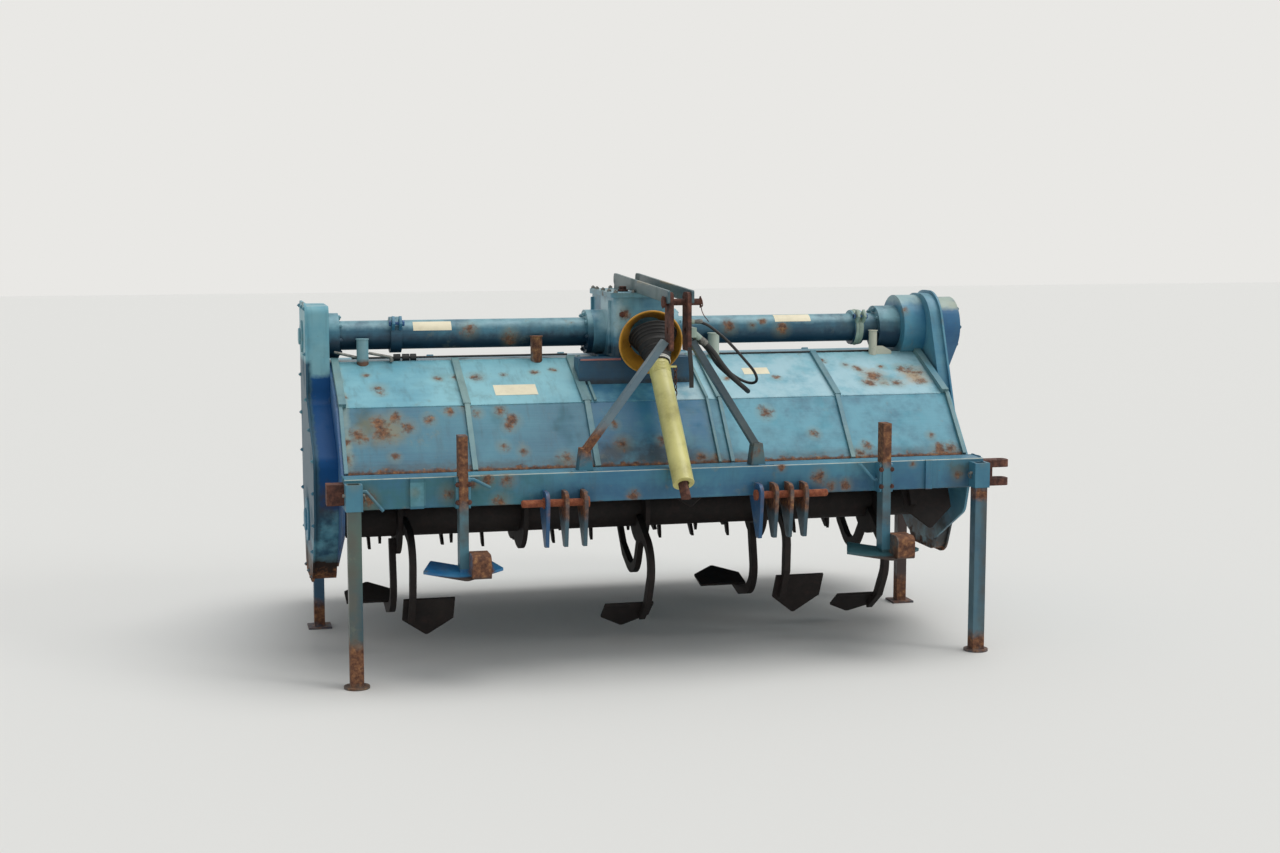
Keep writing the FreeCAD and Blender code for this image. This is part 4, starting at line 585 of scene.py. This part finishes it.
# Hoses on the headstock: routes in millimetres, both ends in the sockets. crimp is
# the radius of the steel sleeve at an end.
slant = Vector((0.7507, 0, -0.6606))
nearEnd = Vector((91.52, 46, 1235.54))
middleEnd = Vector((91.52, 72, 1235.54))
farEnd = Vector((91.52, 98, 1235.54))
highEnd = Vector((71, 60, 1297))
hoses = {
    "hoseThick": {
        "node": "hose_thick", "diameter": 0.018, "crimp": 12,
        "route": [nearEnd, nearEnd + slant * 60, (178, 34, 1130), (232, 36, 1072), (280, 64, 1036),
                  (303, 117, 1024), (290, 168, 1044), (244, 186, 1086), (188, 164, 1132),
                  farEnd + slant * 60, farEnd],
    },
    "hoseThin": {
        "node": "hose_thin", "diameter": 0.011, "crimp": 8,
        "route": [highEnd, highEnd + Vector((34, 0, 0)), (158, 50, 1259), (212, 38, 1209), (262, 30, 1151),
                  (301, 34, 1108), (320, 58, 1070), (306, 98, 1056), (262, 118, 1074), (206, 118, 1116),
                  (154, 96, 1158), middleEnd + slant * 45, middleEnd],
    },
}
# Crimped sleeve: a hexagon at its foot, then a tube with grooves, along the hose
sleeve = {"foot": -3, "nut": 8, "nutSize": 0.95, "end": 32, "round": 1.5, "grooves": 4, "first": 11, "step": 5,
          "wide": 2, "proud": 0.8}


def splineLength(curve):
    probe = bpy.data.objects.new("probe", curve)
    depth = curve.bevel_depth
    curve.bevel_depth = 0
    scene.collection.objects.link(probe)
    bpy.context.view_layer.update()
    mesh = bpy.data.meshes.new_from_object(probe.evaluated_get(bpy.context.evaluated_depsgraph_get()))
    places = [vert.co.copy() for vert in mesh.vertices]
    bpy.data.objects.remove(probe)
    curve.bevel_depth = depth
    return sum((places[i + 1] - places[i]).length for i in range(len(places) - 1)), places


def hose(name, facts):
    curve = bpy.data.curves.new(name, "CURVE")
    curve.dimensions = "3D"
    curve.resolution_u = 10
    curve.bevel_depth = 1.0
    curve.bevel_resolution = 4
    curve.use_fill_caps = True
    spline = curve.splines.new("NURBS")
    spline.points.add(len(facts["route"]) - 1)
    for point, place in zip(spline.points, facts["route"]):
        point.co = (*at(*place), 1)
        point.radius = facts["diameter"] / 2  # in metres, as the object's bounds count it
    spline.order_u = 3
    spline.use_endpoint_u = True
    piece = bpy.data.objects.new(name, curve)
    scene.collection.objects.link(piece)
    curve.materials.append(hoseRubber)
    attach(piece, "frame")
    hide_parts(facts["node"])
    bm = bmesh.new()
    for start, after in ((facts["route"][0], facts["route"][1]), (facts["route"][-1], facts["route"][-2])):
        start, way = Vector(start), (Vector(after) - Vector(start)).normalized()
        crimp = facts["crimp"]
        rod(bm, start + way * sleeve["foot"], start + way * sleeve["nut"], crimp * sleeve["nutSize"], 6)
        rod(bm, start + way * sleeve["nut"], start + way * sleeve["end"], crimp, 20, bevel=sleeve["round"])
        for k in range(sleeve["grooves"]):
            groove = sleeve["first"] + sleeve["step"] * k
            rod(bm, start + way * groove, start + way * (groove + sleeve["wide"]), crimp + sleeve["proud"], 20)
    crimps = finish(name + "Crimps", bm, zinc)
    length, places = splineLength(curve)
    print(name, "length", round(length, 3))


for name, facts in hoses.items():
    hose(name, facts)
# Blank cream films. turns: a tube's film starts and ends at these degrees from the
# top. foot and head: Y and Z of a hood film's edges.
film = {"radius": 57.6, "steps": 8, "slopeWay": (0, -0.4259, 0.9048), "lift": 0.7}
labels = {
    "labelTubeLeft": {"x": (-893, -742), "turns": (18, 62)},
    "labelTubeRight": {"x": (597, 752), "turns": (32, 78)},
    "labelHoodLeft": {"x": (-615, -449), "foot": (420, 1002.8), "head": (490, 1035.7)},
    "labelHoodRight": {"x": (412, 520), "foot": (525, 1052.2), "head": (571, 1073.9)},
}
for name, facts in labels.items():
    bm = bmesh.new()
    left, right = facts["x"]
    if "turns" in facts:
        first, last = facts["turns"]
        line = []
        for k in range(film["steps"] + 1):
            turn = math.pi / 2 - math.radians(first + (last - first) * k / film["steps"])
            line.append(bm.verts.new((left, tubeLine[0] - film["radius"] * math.sin(turn),
                                      tubeLine[1] + film["radius"] * math.cos(turn))))
        edges = [bm.edges.new((line[k], line[k + 1])) for k in range(film["steps"])]
        moved = bmesh.ops.extrude_edge_only(bm, edges=edges)["geom"]
        moved = [part for part in moved if isinstance(part, bmesh.types.BMVert)]
        bmesh.ops.translate(bm, verts=moved, vec=(right - left, 0, 0))
    else:
        lift = Vector(film["slopeWay"]) * film["lift"]
        corners = [(left, *facts["foot"]), (right, *facts["foot"]), (right, *facts["head"]), (left, *facts["head"])]
        bm.faces.new([bm.verts.new(Vector(corner) + lift) for corner in corners])
    finish(name, bm, cream)

# Beads of weld along the hood's bends, under the legs' feet and round the beam's pads
welds = {
    "bends": ((361, 974.5), (669, 1119.5)), "bendReach": 1186,
    "legs": (-373, 348), "legReach": 28, "legY": 41,
    "pads": (-1230, 1230), "padY": (60, 134), "topZ": 754, "topSize": 3.5,
    "lugs": (-504, -431, -365, 307, 366, 425, 484), "lugSides": (-8.5, 8.5), "lugY": 28, "lugZ": (646, 688),
    "lugSize": 2.6,
}
bm = bmesh.new()
random.seed(4)
for y, z in welds["bends"]:
    bead(bm, (-welds["bendReach"], y, z), (welds["bendReach"], y, z))
finish("bendBeads", bm, enamelHoodTop)
bm = bmesh.new()
for x in welds["legs"]:
    bead(bm, (x - welds["legReach"], welds["legY"], welds["topZ"]),
         (x + welds["legReach"], welds["legY"], welds["topZ"]), welds["topSize"])
for x in welds["pads"]:
    bead(bm, (x, welds["padY"][0], welds["topZ"]), (x, welds["padY"][1], welds["topZ"]), welds["topSize"])
for x in welds["lugs"]:
    for side in welds["lugSides"]:
        bead(bm, (x + side, welds["lugY"], welds["lugZ"][0]), (x + side, welds["lugY"], welds["lugZ"][1]),
             welds["lugSize"])
finish("beamBeads", bm, enamelBeam)
print("hood dressed")

# What hangs down: a rubber strap, the chain of the shaft's guard and the top pin's wire.
# The strap bows forward below the height called bend, and drifts to the right.
strap = {"x": (38, 54), "y": 27, "thick": 5, "top": 1204, "bend": 1188, "foot": 1054,
         "bow": 9, "drift": 0.05, "cuts": 9}


def strapShift(z):
    down = max(0, strap["bend"] - z)
    return strap["drift"] * down, -strap["bow"] * math.sin(down / (strap["bend"] - strap["foot"]) * math.pi)


bm = bmesh.new()
block(bm, (strap["x"][0], strap["y"] - strap["thick"] / 2, strap["foot"]),
      (strap["x"][1], strap["y"] + strap["thick"] / 2, strap["top"]))
tall = [edge for edge in bm.edges if abs(edge.verts[0].co.z - edge.verts[1].co.z) > strap["x"][1] - strap["x"][0]]
bmesh.ops.subdivide_edges(bm, edges=tall, cuts=strap["cuts"])
for vert in bm.verts:
    across, back = strapShift(vert.co.z)
    vert.co.y += back
    vert.co.x += across
strapPiece = finish("hangingStrap", bm, blackRubber)
for z in range(strap["top"], strap["foot"] - 1, -15):
    across, back = strapShift(z)

links = {"x": 64, "y": 296, "top": 1104, "links": 6, "step": 24, "wide": 6.5, "wire": 2.2, "long": 1.75, "twist": 0.3}
bm = bmesh.new()
for i in range(links["links"]):
    turn = math.pi / 2 * (i % 2) + links["twist"]
    ring(bm, (links["x"], links["y"], links["top"] - i * links["step"]), (math.sin(turn), -math.cos(turn), 0),
         links["wide"], links["wire"], 14, 6, links["long"])
finish("guardChain", bm, rustBrown, "drive_shaft", 60)

wire = {"from": (101, 70, 1362), "to": (130, 66, 1296), "thick": 3.2, "steps": 10, "bow": 9}
bm = bmesh.new()
wirePath = []
for k in range(wire["steps"] + 1):
    share = k / wire["steps"]
    place = Vector(wire["from"]).lerp(Vector(wire["to"]), share)
    place.x -= wire["bow"] * math.sin(share * math.pi)
    wirePath.append(place)
for k in range(wire["steps"]):
    rod(bm, wirePath[k], wirePath[k + 1], wire["thick"] / 2, 8)
bmesh.ops.remove_doubles(bm, verts=bm.verts, dist=0.4)
pinWire = finish("pinWire", bm, rustBrown, angle=60)

clips = {"y": 70, "ringX": 101, "ringZ": 1370, "radius": 17, "wire": 2.2, "pins": ((98, 1391, 1348), (-46, 1393, 1347)),
         "thick": 3}
bm = bmesh.new()
ring(bm, (clips["ringX"], clips["y"], clips["ringZ"]), (1, 0, 0.2), clips["radius"], clips["wire"], 24, 8)
for x, top, foot in clips["pins"]:
    rod(bm, (x, clips["y"], top), (x, clips["y"], foot), clips["thick"], 10)
finish("topPinClips", bm, rustBrown, angle=50)

# Red strip along the rail under the gearbox
strip = {"low": (-270, 477, 1124), "high": (-108, 480, 1131), "round": 0.8}
bm = bmesh.new()
block(bm, strip["low"], strip["high"], strip["round"])
finish("railStrip", bm, redPaint)
print("headstock dressed")

# Drive shaft. Each ring is given by its distance down from the joint, its radius
# and its thickness, and each fold of the bell by its distance and its two radii.
shaft = {"joint": (0, 385, 1206), "way": (0, -0.6673, -0.7448)}
bell = {
    "ribs": ((-22, 92, 3.4), (-10, 86, 3.4), (2, 80, 3.2), (14, 73, 3.2), (37.7, 65.5, 2.6), (61, 58, 2.6),
             (84.3, 50.5, 2.6)),
    "folds": ((-22, 90, 84), (-10, 84, 78), (2, 78, 71), (14, 71, 64)), "foldLong": 13, "foldShift": 6,
}
guard = {"rings": [(132 + 7 * k, 40.2, 1.5) for k in range(6)] + [(666, 38.5, 2.0)],
         "eye": ((38, 291, 1106), (68, 301, 1114)), "eyeRound": 2}
collar = {"rings": [(102 + 7 * k, 45, 3.2) for k in range(2)]}
cone = {"tilt": 12, "rims": (((-14, 376, 1200), 124, 3.4, 10), ((-11.5, 392, 1203), 117.5, 2.2, 8))}
joint, down = Vector(shaft["joint"]), Vector(shaft["way"])


def shaftRings(bm, rows, sides):
    for far, radius, thick in rows:
        ring(bm, joint + down * far, down, radius, thick, 48, sides)


bm = bmesh.new()
shaftRings(bm, bell["ribs"], 10)
for far, first, last in bell["folds"]:
    skin = bmesh.ops.create_cone(bm, cap_ends=False, segments=48, radius1=first, radius2=last,
                                 depth=bell["foldLong"])["verts"]
    settle(bm, skin, aimed(down), joint + down * far + down * bell["foldShift"])
finish("bellRibs", bm, blackRubber, "drive_shaft", 50)
bm = bmesh.new()
shaftRings(bm, guard["rings"], 8)
block(bm, *guard["eye"], guard["eyeRound"])
finish("guardRings", bm, guardYellow, "drive_shaft", 50)
bm = bmesh.new()
shaftRings(bm, collar["rings"], 10)
finish("guardCollar", bm, whiteNylon, "drive_shaft", 50)
bm = bmesh.new()
tilt = math.radians(cone["tilt"])
for centre, radius, thick, sides in cone["rims"]:
    ring(bm, centre, Vector((0, -math.cos(tilt), -math.sin(tilt))), radius, thick, 64, sides)
finish("coneRim", bm, coneOrange, angle=50)

# Gearbox: webs and rear cover, then plugs and breather
gearbox = {
    "websX": (-135, 109), "websY": (590, 902), "webWide": 11, "webHalf": 6, "webZ": (1142, 1352), "webRound": 2,
    "cover": [((0, 938, 1222), (0, 952, 1222), 82, 48, 2), ((0, 950, 1222), (0, 962, 1222), 44, 36, 3)],
    "plugs": [((-62, 640, 1384), (-62, 640, 1393), 21, 24, 1.5), ((-62, 640, 1392), (-62, 640, 1406), 15, 6, 1),
              ((70, 820, 1384), (70, 820, 1402), 8, 16, 1), ((70, 820, 1400), (70, 820, 1420), 13, 20, 2),
              ((84, 522, 1160), (84, 510, 1160), 14, 6, 1), ((-94, 522, 1300), (-94, 512, 1300), 12, 6, 1)],
}
bm = bmesh.new()
for y in gearbox["websY"]:
    for x in gearbox["websX"]:
        block(bm, (x, y - gearbox["webHalf"], gearbox["webZ"][0]),
              (x + gearbox["webWide"], y + gearbox["webHalf"], gearbox["webZ"][1]), gearbox["webRound"])
rods(bm, gearbox["cover"])
finish("gearboxWebs", bm, enamelGear)
bm = bmesh.new()
rods(bm, gearbox["plugs"])
finish("gearboxPlugs", bm, rustBrown)

# Clamps on the cross tubes: two ears and a bolt each, and a band on the right one
clamp = {
    "x": 960, "ears": (-20, 8), "earWide": 12, "earY": (660, 700), "earZ": (1248, 1290), "earRound": 2, "lean": 48,
    "rim": 72, "rimThick": 3.5, "band": 73, "bandHalf": 16, "bandRound": 1.5,
    "boltAt": (680, 1269), "boltHalf": 30, "boltThick": 6, "head": 8, "headWide": 11,
}
lean = Matrix.Rotation(math.radians(clamp["lean"]), 3, "X")
for name, x, paint in (("tubeClampLeft", -clamp["x"], enamelGear), ("tubeClampRight", clamp["x"], paleGreen)):
    bm = bmesh.new()
    for ear in clamp["ears"]:
        block(bm, (x + ear, clamp["earY"][0], clamp["earZ"][0]),
              (x + ear + clamp["earWide"], clamp["earY"][1], clamp["earZ"][1]), clamp["earRound"], lean)
    if x > 0:
        ring(bm, (x, *tubeLine), (1, 0, 0), clamp["rim"], clamp["rimThick"], 48, 8)
        rod(bm, (x - clamp["bandHalf"], *tubeLine), (x + clamp["bandHalf"], *tubeLine), clamp["band"], 48,
            bevel=clamp["bandRound"])
    finish(name, bm, paint)
bm = bmesh.new()
for x in (-clamp["x"], clamp["x"]):
    left, right = x - clamp["boltHalf"], x + clamp["boltHalf"]
    for start, end, radius, sides in ((left, right, clamp["boltThick"], 16),
                                      (left, left + clamp["head"], clamp["headWide"], 6),
                                      (right - clamp["head"], right, clamp["headWide"], 6)):
        rod(bm, (start, *clamp["boltAt"]), (end, *clamp["boltAt"]), radius, sides)
finish("clampBolts", bm, enamelDeep)

# Bearing covers on the drive cases, as face, side, line and radius
covers = {
    "cases": ((-1320, -1, tubeLine, 62), (-1320, -1, spadeLine, 84), (1278, 1, spadeLine, 84)),
    "tall": 7, "hub": 0.52, "hubFoot": 6, "hubTall": 15,
    "rearFace": 1384, "rear": ((tubeLine, 66), (rearLine, 52)),
}
bm = bmesh.new()
for x, side, line, radius in covers["cases"]:
    rod(bm, (x - side, *line), (x + side * covers["tall"], *line), radius, 48, bevel=1.5)
    rod(bm, (x + side * covers["hubFoot"], *line), (x + side * covers["hubTall"], *line), radius * covers["hub"], 36,
        bevel=3)
finish("bearingCovers", bm, enamelCase)
bm = bmesh.new()
for line, radius in covers["rear"]:
    rod(bm, (covers["rearFace"], *line), (covers["rearFace"] + covers["tall"], *line), radius, 48, bevel=1.5)
finish("rearCaseCovers", bm, enamelRear)

# Grey levers behind the left of the hood
levers = [((-1206, 660, 1162), (-1120, 660, 1140), 5.5, 14, 1), ((-1072, 660, 1156), (-985, 660, 1138), 5.5, 14, 1),
          ((-985, 660, 1138), (-985, 660, 1121), 8, 12, 0)]
bm = bmesh.new()
rods(bm, levers)
finish("hoodLevers", bm, zinc)

# Bars on the rear of the hood, and the knuckles that carry the rear board's rod
rearBars = {"x": (-800, -260, 260, 800), "y": 1137.5 + 3.6, "z": 945 + 4.8, "slope": (0, 465, -350), "half": 14,
            "short": 4, "thick": 5, "round": 1.5}
slope = Vector(rearBars["slope"])
lean = Matrix.Rotation(math.atan2(slope.z, slope.y), 3, "X")
half = Vector((rearBars["half"], slope.length / 2 - rearBars["short"], rearBars["thick"]))
bm = bmesh.new()
for x in rearBars["x"]:
    centre = Vector((x, rearBars["y"], rearBars["z"]))
    block(bm, centre - half, centre + half, rearBars["round"], lean)
finish("rearHoodBars", bm, enamelHoodRear)
knuckles = {"reach": 1050, "step": 350, "half": 32, "line": (1602, 640), "radius": 12, "round": 1.5}
bm = bmesh.new()
for x in range(-knuckles["reach"], knuckles["reach"] + 1, knuckles["step"]):
    rod(bm, (x - knuckles["half"], *knuckles["line"]), (x + knuckles["half"], *knuckles["line"]),
        knuckles["radius"], 24, bevel=knuckles["round"])
finish("boardKnuckles", bm, enamelCase, "tail_board")

# Pins that hold the stands in their sleeves, each with its pull ring
pins = {"frontX": 1201, "frontZ": 700, "frontHalf": 40, "rear": ((-1255.3, 1030), (1255.3, 930)), "rearZ": 800,
        "rearHalf": 38, "thick": 6, "round": 1, "ring": 11, "wire": 2, "drop": 10}
bm = bmesh.new()
for side, (x, y) in zip((-1, 1), pins["rear"]):
    front, half = pins["frontX"] * side, pins["frontHalf"]
    rod(bm, (front - half, 0, pins["frontZ"]), (front + half, 0, pins["frontZ"]), pins["thick"], 16,
        bevel=pins["round"])
    ring(bm, (front - half * side, 0, pins["frontZ"] - pins["drop"]), (1, 0, 0.3), pins["ring"], pins["wire"], 20, 6)
    half = pins["rearHalf"]
    rod(bm, (x, y - half, pins["rearZ"]), (x, y + half, pins["rearZ"]), pins["thick"], 16, bevel=pins["round"])
    ring(bm, (x, y - half, pins["rearZ"] - pins["drop"]), (0.3, 1, 0), pins["ring"], pins["wire"], 20, 6)
finish("standPins", bm, zinc, angle=50)
print("covers, levers and pins placed")

# Bolts, as places and the way the heads point. The drive cases' bolts follow an
# outline in Y and Z, 150 mm apart, and those of flanges and covers follow a circle.
caseLeft = [(608, 1334), (872, 1334), (874, 1060), (864, 610), (758, 318), (482, 318), (332, 540), (313, 785),
            (608, 985)]
caseRight = [(651, 1319), (750, 1360), (849, 1319), (888, 1220), (886, 1070), (830, 580), (742, 318), (498, 318),
             (396, 540), (408, 815)]
bolts = {
    "caseBoltsLeft": {"finish": enamelCase, "size": (12, 3), "rows": [
        ((-1320, p.x, p.y), (-1, 0, 0)) for p in along(caseLeft, 150)]},
    "caseBoltsRight": {"finish": enamelCase, "size": (12, 3), "rows": [
        ((1278, p.x, p.y), (1, 0, 0)) for p in along(caseRight, 150)]},
    "lidBolts": {"finish": zinc, "rows": [
        ((x, y, 1385), (0, 0, 1)) for xs, ys in (((-118, 103), (528, 640, 750, 860, 932)), ((-45, 30), (528, 932)))
        for x in xs for y in ys]},
    "tubeFlangeBolts": {"finish": enamelTube, "rows": [
        ((x, tubeLine[0] - 73 * math.sin(a), tubeLine[1] + 73 * math.cos(a)), (way, 0, 0))
        for x, way in ((-197, -1), (182, 1), (-1182, 1), (1041, -1)) for a in turns(8, 0.2)]},
    "holderBolts": {"finish": rustBrown, "rows": [
        ((x, -22, z), (0, -1, 0)) for x in (-831, -789, 789, 831) for z in (664, 729)]},
    "rearCaseBolts": {"finish": enamelTube, "rows": [
        ((1385, y + radius * math.cos(a), z + radius * math.sin(a)), (1, 0, 0))
        for (y, z), radius in ((tubeLine, 104), (rearLine, 76)) for a in turns(8)]},
    "inputBolts": {"finish": rustBrown, "rows": [
        ((88 * math.cos(a), 458, 1212 + 88 * math.sin(a)), (0, -1, 0)) for a in turns(6, 0.4)]},
}
for name, facts in bolts.items():
    bm = bmesh.new()
    for place, way in facts["rows"]:
        bolt(bm, place, way, *facts.get("size", ()))
    finish(name, bm, facts["finish"])
print("bolts:", sum(len(facts["rows"]) for facts in bolts.values()))

# Floor and light
floor = {"size": 60, "colour": "#E4E2DD", "sunk": 0.0005}
mesh = bpy.data.meshes.new("floor")
bm = bmesh.new()
bmesh.ops.create_grid(bm, x_segments=1, y_segments=1, size=floor["size"] / 2)
bmesh.ops.translate(bm, verts=bm.verts, vec=(0, 0, -floor["sunk"]))
bm.to_mesh(mesh)
bm.free()
ground = bpy.data.objects.new("floor", mesh)
scene.collection.objects.link(ground)
# Plain pale studio floor: matt, so that it keeps only the soft shadow
material, tree, shader, place = startMaterial("palePlainFloor", 0.85)
shader.inputs["Base Color"].default_value = shade(floor["colour"])
mesh.materials.append(material)

# The sky lights the object softly, and camera and reflections see a pale backdrop
sky = {"light": "#E6EBF0", "strength": 0.52, "backdrop": "#E9E8E5"}
world = bpy.data.worlds.new("studio")
scene.world = world
world.use_nodes = True
tree = world.node_tree
tree.nodes.clear()
path = addNode(tree, "ShaderNodeLightPath")
seen = chain(tree, path.outputs["Is Camera Ray"], ("MAXIMUM", path.outputs["Is Transmission Ray"]),
             ("MAXIMUM", path.outputs["Is Glossy Ray"]))
soft = addNode(tree, "ShaderNodeBackground", {"Color": shade(sky["light"]), "Strength": sky["strength"]})
pale = addNode(tree, "ShaderNodeBackground", {"Color": shade(sky["backdrop"]), "Strength": 1.0})
both = addNode(tree, "ShaderNodeMixShader", {}, {0: seen, 1: soft.outputs[0], 2: pale.outputs[0]})
addNode(tree, "ShaderNodeOutputWorld", {}, {0: both.outputs[0]})

lamps = {
    "highLamp": {"from": (0.35, 0.0, 1.0), "strength": 1.6, "spread": 50},
    "sideLamp": {"from": (1.0, -0.7, 0.5), "strength": 0.5, "spread": 16},
}
for name, facts in lamps.items():
    lamp = bpy.data.lights.new(name, "SUN")
    lamp.energy = facts["strength"]
    lamp.angle = math.radians(facts["spread"])
    holder = bpy.data.objects.new(name, lamp)
    holder.location = (0, 0, 5)
    holder.rotation_euler = Vector(facts["from"]).to_track_quat("Z", "Y").to_euler()
    scene.collection.objects.link(holder)
print("floor and lamps placed")

bpy.context.view_layer.update()
